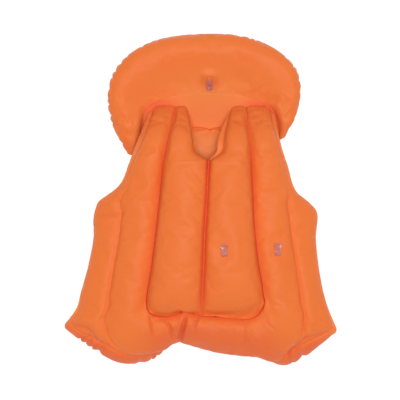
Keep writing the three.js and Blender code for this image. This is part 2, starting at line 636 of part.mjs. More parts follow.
for (const valve of VALVES) {
  const chamber = chambers[valve.name];
  const seat = seatOf(chamber, valve);
  const matrix = frameOn(seat, valve, valve.sunk);
  pressSeat(chamber, matrix);
  vest.add(named(`${valve.name}_valve_body`, valveBody().applyMatrix4(matrix), clearMaterial()));
  vest.add(named(`${valve.name}_valve_plug`, valvePlug().applyMatrix4(matrix), clearMaterial()));
}
vest.add(chambers.collar, chambers.inner, chambers.outer);

export default vest;
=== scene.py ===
# %% [markdown]
# # A child's inflatable swim vest
#
# The vest is welded from flat orange film and blown up: a head pillow, two fat chest tubes, a U of
# slimmer tubes round them, and a back panel. It lies on its back on a pale table and is seen straight
# from above. Every blown piece is made in the same four steps: a grid of points between two welds, air
# pressure from a cloth simulation, one subdivision, and then the folds and gathers that the welds pull
# into the film.

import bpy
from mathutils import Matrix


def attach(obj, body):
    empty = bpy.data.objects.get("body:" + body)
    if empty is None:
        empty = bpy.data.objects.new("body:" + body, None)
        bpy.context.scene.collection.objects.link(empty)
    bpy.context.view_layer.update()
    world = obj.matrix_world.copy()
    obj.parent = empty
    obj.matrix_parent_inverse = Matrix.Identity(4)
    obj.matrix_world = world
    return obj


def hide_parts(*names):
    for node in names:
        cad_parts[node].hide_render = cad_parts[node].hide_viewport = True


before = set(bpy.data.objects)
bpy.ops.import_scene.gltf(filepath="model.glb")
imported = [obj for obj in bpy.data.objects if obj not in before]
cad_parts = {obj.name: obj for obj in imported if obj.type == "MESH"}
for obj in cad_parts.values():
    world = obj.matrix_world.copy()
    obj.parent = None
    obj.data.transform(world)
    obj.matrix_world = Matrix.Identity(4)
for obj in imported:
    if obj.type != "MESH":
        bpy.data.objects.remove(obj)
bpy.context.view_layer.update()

# %% [markdown]
# ## Curves, columns and grids
#
# A weld on the real vest is a smooth line that a hot die presses into two films. Here a weld is a curve
# through a few given points, in millimetres. It could be a Bezier curve object, but a
# function that returns points for an array of parameters is easier to combine into surfaces.

# %% Smooth curves through given points
import math

import bmesh
import bpy
import numpy as np
from mathutils import Vector

MM = 0.001
TINY = 1e-9  # keeps a division by a length of nothing from failing


def unit(vectors):
    """Each vector at a length of one."""
    return vectors / np.maximum(np.linalg.norm(vectors, axis=-1, keepdims=True), TINY)


def mix(a, b, share):
    return a + (b - a) * share


def root_distance(a, b):
    return np.sqrt(np.maximum(np.linalg.norm(b - a, axis=-1, keepdims=True), TINY))


def guide(points, corners=()):
    """A centripetal curve through the points; it bends sharply at the corners and softly elsewhere."""
    knots = np.array(points, float)
    reach = np.vstack([2 * knots[0] - knots[1], knots, 2 * knots[-1] - knots[-2]])

    def curve(t):
        place = np.clip(np.asarray(t, float), 0, 1) * (len(knots) - 1)
        row = np.minimum(place.astype(int), len(knots) - 2)
        w = (place - row)[..., None]
        p0, p1, p2, p3 = (reach[row + k] for k in range(4))
        p0 = np.where(np.isin(row, corners)[..., None], 2 * p1 - p2, p0)
        p3 = np.where(np.isin(row + 1, corners)[..., None], 2 * p2 - p1, p3)
        d0, d1, d2 = root_distance(p0, p1), root_distance(p1, p2), root_distance(p2, p3)
        m1 = ((p1 - p0) / d0 - (p2 - p0) / (d0 + d1) + (p2 - p1) / d1) * d1
        m2 = ((p2 - p1) / d1 - (p3 - p1) / (d1 + d2) + (p3 - p2) / d2) * d1
        return p1 + m1 * w + (3 * (p2 - p1) - 2 * m1 - m2) * w**2 + (2 * (p1 - p2) + m1 + m2) * w**3

    return curve


print("a guide passes through its points:", guide([(0, 0, 0), (10, 5, 0), (20, 0, 0)])(0.5))

# %% Softened table columns, even stations and the roundness of a blown tube
PER_ROW = 24  # fine samples between two rows of a table
SOFTEN = 0.3  # how far a column's corners are rounded off, in rows
TUBE_FLATNESS = 2.6
CALM_ROWS = 2  # a normal is averaged with those of so many rows before and after it
UP = np.array([0, 0, 1.0])


def soft_line(values, sigma):
    """A row of numbers with its corners rounded off."""
    reach = int(3 * sigma) + 1
    kernel = np.exp(-0.5 * (np.arange(-reach, reach + 1) / sigma) ** 2)
    return np.convolve(np.pad(values, reach, mode="edge"), kernel / kernel.sum(), mode="valid")


def column(rows, name, t):
    """One named column of a table at parameter t."""
    fine = np.linspace(0, len(rows) - 1, PER_ROW * (len(rows) - 1) + 1)
    line = np.interp(fine, np.arange(len(rows)), [row[name] for row in rows])
    return np.interp(np.asarray(t) * (len(rows) - 1), fine, soft_line(line, PER_ROW * SOFTEN))


def run_along(path):
    """How far along a path each of its points lies."""
    return np.concatenate([[0], np.cumsum(np.linalg.norm(np.diff(path, axis=0), axis=1))])


def even_stations(curves, step):
    """Parameters at which a set of curves that run side by side is walked in even steps."""
    fine = np.linspace(0, 1, 4001)
    run = np.mean([run_along(curve(fine)) for curve in curves], axis=0)
    count = int(round(run[-1] / step))
    return np.interp(np.linspace(0, run[-1], count + 1), run, fine)


def dome(u, power):
    """Height of a blown tube from one weld, at -1, to the other, at 1, with a flat top."""
    return np.maximum(0, 1 - np.abs(u) ** TUBE_FLATNESS) ** power


def grid_normals(points):
    """Directions square to a grid of points, on its upper side."""
    square = unit(np.cross(np.gradient(points, axis=1), np.gradient(points, axis=0)))
    square *= np.sign(square[..., 2].mean())
    spare = CALM_ROWS + 1
    padded = np.pad(square, ((spare, spare), (0, 0), (0, 0)), mode="edge")
    calm = sum(np.roll(padded, k, axis=0) for k in range(-CALM_ROWS, CALM_ROWS + 1))
    return unit(calm[spare:-spare])


def shared_normals(normals, edge, share, shared):
    """Normals that turn to one common direction at an edge that two halves share, so their films meet."""
    ahead = np.zeros_like(edge)
    ahead[shared] = unit(np.gradient(edge[shared], axis=0))
    square = unit(UP - ahead * ahead[:, 2:])
    return unit(mix(normals, square[:, None], (share**6 * shared[:, None])[..., None]))


print("a tube is", round(float(dome(0.9, 0.6)), 2), "of its height at nine tenths of its half width")

# %% [markdown]
# ## From grids to one closed skin
#
# A blown chamber is two films that are welded at their edges. Each grid here gives the middle surface
# between the films and how far each film stands away from it. The skin joins both films with a narrow
# strip at the weld, so the mesh is closed. Beside its place, a point keeps notes as mesh attributes:
# how far it is from the nearest weld, how far along that weld, which way a gather pulls it, and how much
# painted shade (seam) and painted light (pale) go into its film colour. Later steps read those notes.

# %% Skins
FILM_HALF = 0.6  # half of the two welded films at an edge
STEP = 3.2  # size of a grid cell before it is subdivided
MERGE = 0.002  # points that are closer than this are one
# seam is painted shade in the film colour and pale is painted light
NUMBERS = ("gap", "along", "pucker", "weld", "seam", "pale", "upper")
ARROWS = ("push", "inward")


def strip(a, b):
    """Quads between two rows of point numbers."""
    return np.stack([a[:-1], a[1:], b[1:], b[:-1]], axis=-1).reshape(-1, 4)


def sheet_faces(index):
    return np.concatenate([strip(index[i], index[i + 1]) for i in range(len(index) - 1)])


def skin(name, grids, shared_from=None):
    """One closed mesh from grids of middle points. From the row shared_from on, the last columns meet."""
    places, faces, notes = [], [], {key: [] for key in NUMBERS + ARROWS}
    count = 0
    for grid in grids:
        middle, normals = grid["points"], grid["normals"]
        rows, columns = middle.shape[:2]
        top = middle + normals * grid["over"][..., None]
        bottom = middle - normals * grid.get("under", grid["over"])[..., None]
        for film, upper in ((top, 1.0), (bottom, 0.0)):
            film[..., 2] = np.maximum(film[..., 2], 0)
            places.append(film.reshape(-1, 3))
            notes["upper"].append(np.full(rows * columns, upper))
            notes["push"].append(-normals.reshape(-1, 3))
            notes["inward"].append(grid["inward"].reshape(-1, 3))
            for key in NUMBERS[:-1]:
                notes[key].append(np.broadcast_to(grid[key], (rows, columns)).reshape(-1))
        over = count + np.arange(rows * columns).reshape(rows, columns)
        under = over + rows * columns
        count += 2 * rows * columns
        last = rows if shared_from is None else shared_from + 1
        faces += [sheet_faces(over), sheet_faces(under)]
        faces += [strip(over[k], under[k]) for k in (0, -1)]
        faces += [strip(over[:, 0], under[:, 0]), strip(over[:last, -1], under[:last, -1])]
    mesh = bpy.data.meshes.new(name)
    mesh.from_pydata((np.concatenate(places) * MM).tolist(), [], np.concatenate(faces).tolist())
    for key in NUMBERS:
        values = np.concatenate(notes[key]).astype(np.float32)
        mesh.attributes.new(key, "FLOAT", "POINT").data.foreach_set("value", values)
    for key in ARROWS:
        values = np.concatenate(notes[key]).astype(np.float32).ravel()
        mesh.attributes.new(key, "FLOAT_VECTOR", "POINT").data.foreach_set("vector", values)
    return closed(name, mesh)


def node_of(piece):
    """A piece is named for the CAD node that it stands for, with its finish behind."""
    return piece.name.rsplit("_", 1)[0]


def closed(name, mesh):
    """The mesh as an object, with doubled points merged and all faces pointing out."""
    work = bmesh.new()
    work.from_mesh(mesh)
    bmesh.ops.remove_doubles(work, verts=work.verts, dist=MERGE * MM)
    bmesh.ops.recalc_face_normals(work, faces=work.faces)
    open_edges = sum(1 for edge in work.edges if len(edge.link_faces) != 2)
    work.to_mesh(mesh)
    work.free()
    piece = bpy.data.objects.new(name, mesh)
    bpy.context.scene.collection.objects.link(piece)
    print(f"{name}: {len(mesh.vertices)} points, {open_edges} open edges")
    return piece


# %% [markdown]
# ## The welds
#
# The front of the vest is one sheet whose main weld runs down the left of the chest, along the hem and
# up the right. Each row below is a station on that way. seam is the weld beside the chest tubes, rim
# the outer edge, fork where the side weld lies from seam to rim, weld how far it is pressed down, leg
# and side how full the tubes are, and flat how broad the flat border is.

# %% Stations of the front
FRONT_COLUMNS = "seam rim fork weld leg side flat"


def named_rows(columns, rows):
    """The rows of a table whose columns are named once, at its head."""
    return [dict(zip(columns.split(), row, strict=True)) for row in rows]


LEFT = named_rows(FRONT_COLUMNS, [
    ((-33, 110, 36.6), (-65, 112, 36.6), 0.5, 0, 0.03, 0.03, 3),
    ((-33.5, 125, 42.5), (-68, 124, 42.5), 0.5, 0, 0.28, 0.3, 4),
    ((-35, 117, 52.5), (-74, 115.5, 51), 0.5, 0, 0.52, 0.4, 8),
    ((-38.5, 99, 68), (-80, 98, 63), 0.5, 0, 0.75, 0.5, 9),
    ((-43, 80, 82), (-87, 80, 72), 0.55, 0, 0.88, 0.5, 9),
    ((-46.5, 66, 82.3), (-92.5, 65, 71), 0.6, 0, 0.9, 0.5, 8),
    ((-49.5, 52, 82), (-98, 50.5, 71), 0.66, 0.05, 0.92, 0.5, 6),
    ((-52.5, 25, 81), (-110, 22, 62), 0.7, 0.3, 0.94, 0.6, 4),
    ((-54.8, 0, 80), (-141.5, -2.5, 50), 0.58, 0.75, 0.96, 0.8, 3),
    ((-56.5, -15, 79.5), (-147.3, -23, 45), 0.5, 0.9, 0.98, 0.95, 2),
    ((-60.2, -50, 78.5), (-147.5, -52, 44), 0.53, 0.9, 1, 1, 2),
    ((-65.5, -90, 77), (-154.5, -90, 44), 0.54, 0.9, 1.02, 1, 2),
    ((-71.5, -128, 74), (-165.5, -130, 44), 0.52, 0.9, 1.02, 1, 2),
    ((-73, -141, 72.5), (-170, -148, 44), 0.51, 0.9, 1, 0.95, 3),
    ((-72, -148, 71), (-190, -175.5, 44), 0.46, 0.9, 0.98, 0.85, 13),
    ((-68, -154, 70), (-143, -210, 43), 0.72, 0.8, 0.92, 0.5, 19),
    ((-62, -158, 69), (-113, -225.5, 42), 0.7, 0.2, 0.88, 0.5, 20),
    ((-54, -160.5, 68.5), (-85, -226.5, 41), 0.6, 0, 0.84, 0.5, 20),
    ((-45, -160.3, 69), (-61, -218, 45), 0.5, 0, 0.8, 0.5, 14),
])
HEM = named_rows(FRONT_COLUMNS, [
    ((-33, -157, 70.5), (-46, -204, 50), 0.5, 0, 0.74, 0.5, 8),
    ((-20, -153, 72.5), (-30, -197.5, 57), 0.5, 0, 0.64, 0.5, 4),
    ((-7, -157.6, 73.6), (-12, -200.5, 62), 0.5, 0, 0.72, 0.5, 3),
    ((4, -159.5, 74), (10, -206.5, 63), 0.5, 0, 0.78, 0.5, 3),
    ((18, -160.5, 74), (36, -212, 60), 0.5, 0, 0.8, 0.5, 3),
    ((34, -161.5, 73), (62, -216, 55), 0.5, 0, 0.82, 0.5, 4),
    ((50, -163, 71.5), (90, -220.5, 48), 0.5, 0, 0.84, 0.5, 7),
])
RIGHT = named_rows(FRONT_COLUMNS, [
    ((63, 110, 36.6), (97, 112, 36.6), 0.5, 0, 0.03, 0.03, 3),
    ((63.5, 125, 42.5), (100, 124, 42.5), 0.5, 0, 0.28, 0.3, 4),
    ((65, 117, 52.5), (103, 115.5, 51), 0.5, 0, 0.52, 0.4, 5),
    ((65.5, 98, 68), (106.5, 98, 65), 0.5, 0, 0.75, 0.5, 5),
    ((68.5, 78, 82), (111, 78, 77), 0.55, 0, 0.88, 0.5, 5),
    ((69.5, 64, 82.2), (115, 64, 74), 0.6, 0, 0.9, 0.5, 5),
    ((70, 51, 82), (120, 50, 70), 0.66, 0.05, 0.92, 0.5, 5),
    ((71, 23, 81), (132, 13, 58), 0.74, 0.3, 0.94, 0.6, 4),
    ((72, 0, 80), (150.5, -3, 50), 0.54, 0.75, 0.96, 0.8, 3),
    ((72.5, -16, 79.5), (162, -17, 45), 0.48, 0.9, 0.98, 0.95, 2),
    ((75, -52, 78.5), (160.5, -52, 44), 0.55, 0.9, 1, 1, 2),
    ((79.5, -90, 77), (164, -90, 44), 0.57, 0.9, 1.02, 1, 2),
    ((85, -120, 74.5), (171, -128, 44), 0.56, 0.9, 1.02, 1, 2),
    ((86.3, -131, 73.2), (178, -151.5, 44), 0.54, 0.9, 1, 0.95, 2),
    ((88, -138, 72.2), (191, -181.5, 44), 0.49, 0.9, 0.98, 0.85, 9),
    ((87, -144, 71), (166, -201, 44), 0.68, 0.9, 0.94, 0.6, 16),
    ((84.5, -151, 70), (146, -217.5, 43), 0.7, 0.3, 0.9, 0.5, 22),
    ((79, -158.5, 69.3), (129, -226.5, 42), 0.6, 0, 0.86, 0.5, 18),
    ((66, -164, 69.5), (113, -229.5, 42), 0.5, 0, 0.84, 0.5, 11),
])
FRONT = LEFT + HEM + RIGHT[::-1]
LAST_ROW = len(FRONT) - 1
CENTRE_ROW = len(LEFT) + (len(HEM) - 1) / 2
seam_curve = guide([row["seam"] for row in FRONT])
ARM_ROW, EAR_ROW = 8, 14  # the corner under the left arm and the pointed tips at the bottom
CORNERS = (ARM_ROW, EAR_ROW, LAST_ROW - EAR_ROW)
rim_curve = guide([row["rim"] for row in FRONT], CORNERS)
print(f"main weld {run_along(seam_curve(np.linspace(0, 1, 999)))[-1]:.0f} mm,",
      f"rim {run_along(rim_curve(np.linspace(0, 1, 999)))[-1]:.0f} mm")

# %% [markdown]
# ## The outer chamber
#
# This is the U of tubes round the chest, with the outer halves of the straps and the flat border.
# Between its two welds the film is blown to a dome; where a second weld is pressed in, it becomes two
# domes side by side. A lofted curve could do this too, but the change from one tube to two is simplest
# as a blend of two formulas.

# %% Sizes, painted shade and painted light of the front
LEG_HALF, SIDE_HALF = 20, 16  # half thickness of the two tubes
TUBE_POWER, TIP_POWER, SIDE_POWER = 0.42, 0.2, 0.6  # how steeply tubes rise from their welds
ROUND_POWER = 0.5  # the same for a plain round tube
LEG_COLUMNS, SIDE_COLUMNS, BORDER_COLUMNS = 15, 11, 6  # columns of the grid across tubes and border
TIP_ROWS = 4  # rows over which a strap tip becomes a tube
WELD_LAP = 0.3  # how far the two films of a weld reach across its middle line
WELD_BAND = 0.5  # flat fused film on each side of that line
SIDE_WELD_DEPTH = 0.37  # share of the side weld's depth that shows from above
SHADE_PAINT_REACH = 1.9  # how far the painted shade of a weld's valley reaches up the film
SHADE_PAINT = dict(  # how far painted shade darkens the film
    weld=0.5, centre=0.75, side_weld=0.1, strap_edge=0.4, strap_top=0.15, hem=0.4, border=0.45, flap=0.6,
)
PUCKER = dict(weld=0.1, side_weld=0.12, border=0.9, hem=0.25, back=0.15)  # how far a weld is gathered
LIGHT_PAINT = dict(  # how far painted light lightens the film
    strap_top=0.5, strap_edge=0.6, neck_lip=0.3, flap=0.7, nape=0.8, collar=0.5,
)
STRAP_TOP_ROWS = 3  # a strap's top gets painted shade and painted light down to this row
STRAP_FILL, CHEST_FILL = 0.7, 0.27  # share of a tube's height at its weld, at a strap's top and lower
STRAP_ROWS = 7.5  # rows over which the one becomes the other
CORNER_ROW, CORNER_ROWS = 15, 1.3  # the chest's lower corners, and the rows that they take up
CORNER_FILL, CORNER_FADE = 0.35, 0.8  # there the weld is fuller again, and its painted shade fades
SIDE_SHARE = 0.08  # least breadth of a side tube
STRAP_BORDER, BROAD_BORDER = 7, 16  # the narrow border is flat, the broad one is puffy and curls down
BORDER_PUFF = 4.5  # half thickness of the broad border
BORDER_CURL, STRAP_CURL = 15, 5  # how far the broad border and a strap's edge curl down
BORDER_WELD = 0.8  # from this share of its breadth on, the border is fused flat
FADE_ROWS = 3  # rows over which what belongs to straps or hem sets in
HEM_ROW, HEM_DROOP = 15, 24  # from this row on the tube hangs down towards the hem
print(f"legs up to {2 * LEG_HALF} mm thick, side tubes {2 * SIDE_HALF} mm")


# %% Fullness and painted shade along a weld
def spaced(count):
    """Shares from 0 to 1 that crowd towards both ends."""
    even = np.linspace(0, 1, count + 1)
    return 0.4 * even + 0.6 * (0.5 - 0.5 * np.cos(np.pi * even))


def ramp(x):
    """A soft step from 0 to 1."""
    x = np.clip(x, 0, 1)
    return x * x * (3 - 2 * x)


def weld_shade_paint(distance):
    """Painted shade in a weld's valley: 1 on the weld, and less with the distance from it."""
    return np.exp(-((distance / SHADE_PAINT_REACH) ** 2))


def strap_top(row):
    """1 at the top of a strap, where it is welded to the collar, and 0 a few rows down."""
    return 1 - ramp(row / STRAP_TOP_ROWS)


def lower_corner(row):
    """1 at a lower corner of the chest, and 0 two rows away."""
    return np.exp(-(((row - CORNER_ROW) / CORNER_ROWS) ** 2))


def main_weld_shade_paint(distance, row):
    """How much painted shade the main weld's valley gets; it fades at the lower corners of the chest."""
    return SHADE_PAINT["weld"] * weld_shade_paint(distance) * (1 - CORNER_FADE * lower_corner(row))


def weld_fill(row):
    """How much of its height a tube keeps at its main weld."""
    return mix(STRAP_FILL, CHEST_FILL, ramp(row / STRAP_ROWS)) + CORNER_FILL * lower_corner(row)


print(f"at its main weld a tube keeps {weld_fill(0):.0%} of its height at a strap's top,",
      f"{weld_fill(STRAP_ROWS):.0%} beside the chest")


# %% Outer chamber grid
def outer_grid():
    """The U of tubes from the main weld, across the side weld, to the flat border."""
    t = even_stations((seam_curve, rim_curve), STEP)
    seam, rim = seam_curve(t), rim_curve(t)
    width = np.linalg.norm(rim - seam, axis=1)[:, None]
    flat, fork, weld, leg, side = (
        column(FRONT, name, t)[:, None] for name in ("flat", "fork", "weld", "leg", "side")
    )
    first = -WELD_LAP / width
    start = first + WELD_BAND / width
    edge = 1 - flat / width
    fork = np.minimum(fork, edge - SIDE_SHARE)
    s = np.concatenate([
        first,
        mix(start, fork, spaced(LEG_COLUMNS)[None, :]),
        mix(fork, edge, spaced(SIDE_COLUMNS)[None, 1:]),
        mix(edge, 1, np.linspace(0, 1, BORDER_COLUMNS + 1)[None, 1:]),
    ], axis=1)
    from_tip = np.minimum(t, 1 - t)[:, None] * LAST_ROW
    power = mix(TIP_POWER, TUBE_POWER, ramp(from_tip / TIP_ROWS))
    one = leg * LEG_HALF * dome(np.clip(2 * (s - start) / (edge - start) - 1, -1, 1), power)
    near = leg * LEG_HALF * dome(np.clip(2 * (s - start) / (fork - start) - 1, -1, 1), SIDE_POWER)
    far = side * SIDE_HALF * dome(np.clip(2 * (s - fork) / (edge - fork) - 1, -1, 1), SIDE_POWER)
    two = np.where(s < fork, near, far)
    at_weld = leg * LEG_HALF * weld_fill(from_tip) * (s < fork / 2)
    border = np.clip((s - edge) / (1 - edge), 0, 1)
    broad = np.clip((flat - STRAP_BORDER) / (BROAD_BORDER - STRAP_BORDER), 0, 1)
    puff = FILM_HALF + broad * BORDER_PUFF * dome(2 * border - 1, ROUND_POWER) * (s > edge)
    to_seam, to_fork = np.abs(s - start) * width, np.abs(s - fork) * width
    to_rim = np.maximum(edge - s, 0) * width
    at_rim = (to_rim < to_seam) & ((to_rim < to_fork) | (weld < 0.5))
    at_fork = (to_fork < to_seam) & (to_fork < to_rim) & (weld >= 0.5)
    points = seam[:, None] + (rim - seam)[:, None] * s[..., None]
    hem = ramp((from_tip - HEM_ROW) / FADE_ROWS)
    strap = ramp((ARM_ROW - from_tip) / FADE_ROWS)
    points[..., 2] -= mix(STRAP_CURL * strap, BORDER_CURL, broad) * border**1.5 + HEM_DROOP * hem * s**2
    return dict(
        points=points,
        normals=grid_normals(points),
        over=np.maximum(np.maximum(puff, at_weld), mix(one, two, weld * SIDE_WELD_DEPTH)),
        under=np.maximum(FILM_HALF, mix(one, two, weld)),
        gap=np.where(at_rim, to_rim, np.where(at_fork, to_fork, to_seam)),
        along=np.where(at_rim, run_along(rim)[:, None], run_along(seam)[:, None]),
        pucker=np.where(
            at_rim,
            PUCKER["weld"] + PUCKER["border"] * broad,
            np.where(at_fork, PUCKER["side_weld"], PUCKER["weld"]),
        ),
        weld=np.where((border > BORDER_WELD) | (s <= start), 1.0, 0.0),
        # painted shade in the weld valleys, along the strap edges, on the strap tops, the drooping hem and
        # the border
        seam=np.maximum.reduce([
            main_weld_shade_paint(to_seam, from_tip),
            SHADE_PAINT["side_weld"] * weld * weld_shade_paint(to_fork),
            SHADE_PAINT["strap_edge"] * strap * weld_shade_paint(np.abs(edge - s) * width),
            SHADE_PAINT["hem"] * hem * ramp(s * 3),
            SHADE_PAINT["border"] * broad * ramp(border * 4),
            SHADE_PAINT["strap_top"] * strap_top(from_tip) + 0 * s,
        ]),
        # painted light on the strap's narrow flat edge and on its top
        pale=np.maximum(
            LIGHT_PAINT["strap_edge"] * ramp(border * 3) * (1 - broad),
            LIGHT_PAINT["strap_top"] * strap_top(from_tip),
        ),
        inward=unit(seam - rim)[:, None] * np.where(at_rim, 1.0, 0.0)[..., None],
    )


outer_chamber = skin("outer_chamber_film", [outer_grid()])

# %% [markdown]
# ## The inner chamber
#
# The two fat chest tubes share a centre weld below the neck; above it each one has its own edge and
# becomes the inner half of a strap. The lower weld waves where the film was pulled together, and the
# grid follows that wave and straightens out further up. In the table, left and right are the neck's
# own edges, both is the centre weld, a lip is flat film at such an edge, and full is the tubes' fullness.

# %% Stations of the neck and the centre weld
NECK = named_rows("left right left_lip right_lip full", [
    ((-15, 110, 36.6), (43, 110, 36.6), 0, 0, 0.023),
    ((-17, 124, 42.5), (43, 124, 42.5), 1, 1, 0.2),
    ((-14.5, 116, 52.5), (38, 116, 52.5), 1, 2, 0.38),
    ((-11, 100, 69), (30.5, 100, 69), 1, 6, 0.53),
    ((-7.5, 82, 84.5), (24.5, 82, 84.5), 1, 8, 0.68),
    ((-4.5, 66, 86.5), (22.5, 66, 86.5), 1, 8, 0.74),
]) + named_rows("both left_lip right_lip full", [
    ((11.5, 54, 88.5), 0.3, 0.6, 0.82),
    ((10.6, 25, 90), 0, 0, 0.93),
    ((9.4, 0, 91), 0, 0, 0.98),
    ((8.6, -15, 91.3), 0, 0, 1),
    ((6.3, -50, 91.3), 0, 0, 1.02),
    ((5, -90, 88.5), 0, 0, 1),
    ((3.5, -124, 83.5), 0, 0, 0.91),
    ((3.3, -136, 80.8), 0, 0, 0.77),
    ((3.4, -144, 78.6), 0, 0, 0.6),
    ((3.5, -150, 76.8), 0, 0, 0.43),
    ((3.7, -154.5, 75.4), 0, 0, 0.2),
    ((3.9, -157.5, 74.5), 0, 0, 0.04),
    ((4, -159.5, 74), 0, 0, 0.023),
])
CHEST_HALF = 26  # half thickness of the fat tubes
HEM_PULL, HEM_FADE = 60, 1.5  # how far up the wave of the lower weld reaches, and how quickly it dies away
CHEST_COLUMNS = 26
CENTRE_FILL = 0.15  # share of the tubes' height at the centre weld
THIN_TUBE = 3  # a tube with less half thickness is pressed right down at its welds


def first_shared(rows):
    """The first row from which two halves share one edge."""
    return next(k for k, row in enumerate(rows) if "both" in row)


print("the chest tubes share a weld from row", first_shared(NECK), "on")


# %% Edges and steps of two halves
def inner_edge(rows, side):
    """One half's inner edge: its own neck edge, then the middle edge that both halves share."""
    first, last = first_shared(rows), len(rows) - 1
    neck = guide([row.get("both") or row[side] for row in rows[: first + 1]])
    middle = guide([row["both"] for row in rows[first:]])

    def curve(t):
        place = np.asarray(t, float) * last
        low = neck(np.minimum(place / first, 1))
        high = middle(np.maximum((place - first) / (last - first), 0))
        return np.where((place <= first)[..., None], low, high)

    return curve


def paired_stations(rows, curves):
    """Even steps down a pair of halves, with one step exactly where the shared edge starts."""
    t = even_stations(curves, STEP)
    meet = first_shared(rows) / (len(rows) - 1)
    t[np.argmin(np.abs(t - meet))] = meet
    return t, int(np.argmin(np.abs(t - meet)))


middle_run = run_along(inner_edge(NECK, "left")(np.linspace(0, 1, 999)))
print(f"from a strap's top to the hem, the left tube's inner edge is {middle_run[-1]:.0f} mm long")


# %% Chest tubes
def chest_half(side, t):
    """One fat tube with its half of a strap, from the main weld to the neck and the centre weld."""
    rows = len(NECK) - 1
    row_of = (lambda row: row) if side == "left" else (lambda row: LAST_ROW - row)
    outer, inner = seam_curve(row_of(rows * t) / LAST_ROW), inner_edge(NECK, side)(t)
    corner, centre = outer[-1], inner[-1]
    hem = (np.maximum(0, 1 - (inner[:, 1] - centre[1]) / HEM_PULL) ** HEM_FADE)[:, None]
    even = np.linspace(0, 1, CHEST_COLUMNS + 1)
    u = mix(spaced(CHEST_COLUMNS)[None, :], even[None, :], hem)
    wave = seam_curve(mix(row_of(rows), CENTRE_ROW, even) / LAST_ROW) - mix(corner, centre, even[:, None])
    points = outer[:, None] + (inner - outer)[:, None] * u[..., None] + hem[..., None] * wave[None]
    points[:, 0] -= unit(points[:, 1] - points[:, 0]) * WELD_LAP
    points[..., 1] -= hem * WELD_LAP
    width = np.linalg.norm(inner - outer, axis=1)[:, None]
    row = rows * t[:, None]
    band = WELD_BAND + column(NECK, side + "_lip", t)[:, None]
    x = np.clip((u * width - WELD_BAND) / (width - WELD_BAND - band), 0, 1)
    full = CHEST_HALF * column(NECK, "full", t)[:, None]
    power = mix(TIP_POWER, TUBE_POWER, ramp(row / TIP_ROWS))
    to_seam, to_inner = u * width, np.maximum(0, (1 - u) * width - band)
    centre = CENTRE_FILL * ramp(row - first_shared(NECK))
    filled = np.where(u < 0.5, weld_fill(row), centre) * (full > THIN_TUBE)
    normals = grid_normals(points)
    return dict(
        points=points,
        normals=shared_normals(normals, inner, u, row[:, 0] > first_shared(NECK) - 0.01),
        over=np.maximum(FILM_HALF, full * np.maximum(dome(2 * x - 1, power), filled)),
        under=np.maximum(FILM_HALF, full * dome(2 * x - 1, power)),
        gap=np.minimum(to_seam, to_inner),
        along=run_along(inner)[:, None] + 0 * u,
        pucker=PUCKER["weld"] + PUCKER["hem"] * hem + 0 * u,
        weld=np.where((x <= 0) | (x >= 1), 1.0, 0.0),
        # painted shade in the main and centre weld valleys and on the strap tops
        seam=np.maximum.reduce([
            main_weld_shade_paint(to_seam, row),
            SHADE_PAINT["centre"] * weld_shade_paint(to_inner) * (row >= first_shared(NECK)),
            SHADE_PAINT["strap_top"] * strap_top(row) + 0 * u,
        ]),
        # painted light on the neck lip and on the strap tops
        pale=np.maximum(
            LIGHT_PAINT["neck_lip"] * (x >= 1) * (row < first_shared(NECK)),
            LIGHT_PAINT["strap_top"] * strap_top(row),
        ),
        inward=0 * points,
    )


chest_curves = (lambda t: seam_curve((len(NECK) - 1) * t / LAST_ROW), inner_edge(NECK, "left"))
chest_t, chest_meet = paired_stations(NECK, chest_curves)
chest_halves = [chest_half(side, chest_t) for side in ("left", "right")]
inner_chamber = skin("inner_chamber_film", chest_halves, chest_meet)

# %% [markdown]
# ## The back panel
#
# The back is hidden under the chest and only its upper part shows through the neck. It is finished
# plainly: a panel of four welded tubes that turns up at its sides to meet the front's flat border. In
# the table, outL and outR are its sides, and left, right and both its edge at the neck and its middle.

# %% Back panel
BACK = named_rows("outL left right outR full weld", [
    ((-65, 111, 35.9), (-15, 111, 35.9), (43, 111, 35.9), (97, 111, 35.9), 0.035, 0),
    ((-67, 112.5, 26), (-14, 112.5, 30), (42, 112.5, 30), (100, 112.5, 26), 0.5, 0),
    ((-70, 104, 17.5), (-12.5, 103, 25), (39.5, 103, 25), (103, 104, 17.5), 0.82, 0),
]) + named_rows("outL both outR full weld", [
    ((-77, 88, 14.5), (14, 99, 25), (105.5, 88, 14.5), 0.95, 0.3),
    ((-86, 66, 14.5), (14, 70, 23), (110, 66, 14.5), 1, 0.9),
    ((-101, 38, 17), (13, 38, 18), (117, 40, 17), 1, 0.9),
    ((-116, 10, 22), (11, 8, 14.5), (130, 10, 22), 1, 0.9),
    ((-133, -4, 36), (9.5, -8, 14.5), (144, -5, 36), 1, 0.9),
    ((-144.5, -19, 42.9), (8.5, -21, 14.5), (160, -18, 42.9), 1, 0.9),
    ((-146.5, -52, 43), (7, -55, 14.5), (159.8, -52, 43), 1, 0.9),
    ((-153.8, -90, 43), (5, -92, 14.5), (163.3, -90, 43), 1, 0.9),
    ((-164.8, -130, 43), (4, -132, 14.5), (170.2, -128, 43), 1, 0.9),
    ((-169, -150, 42.5), (4, -158, 14.5), (177, -151, 42.5), 0.95, 0.9),
    ((-160, -173, 40), (4, -177, 14.5), (167, -173, 40), 0.74, 0.9),
    ((-152, -182, 37), (4, -187, 14.5), (159, -182, 37), 0.5, 0.9),
    ((-146, -186, 35), (4, -190, 14.5), (152, -186, 35), 0.035, 0.9),
])
BACK_HALF = 16  # half thickness of its tubes
BACK_CURL, BACK_FLAT = 9, 12  # how late its sides turn up, and their flat border
BACK_COLUMNS = 32
NAPE_LOW, NAPE_RISE = 20, 25  # below the neck it is one cushion down to this Y, and rises over this length


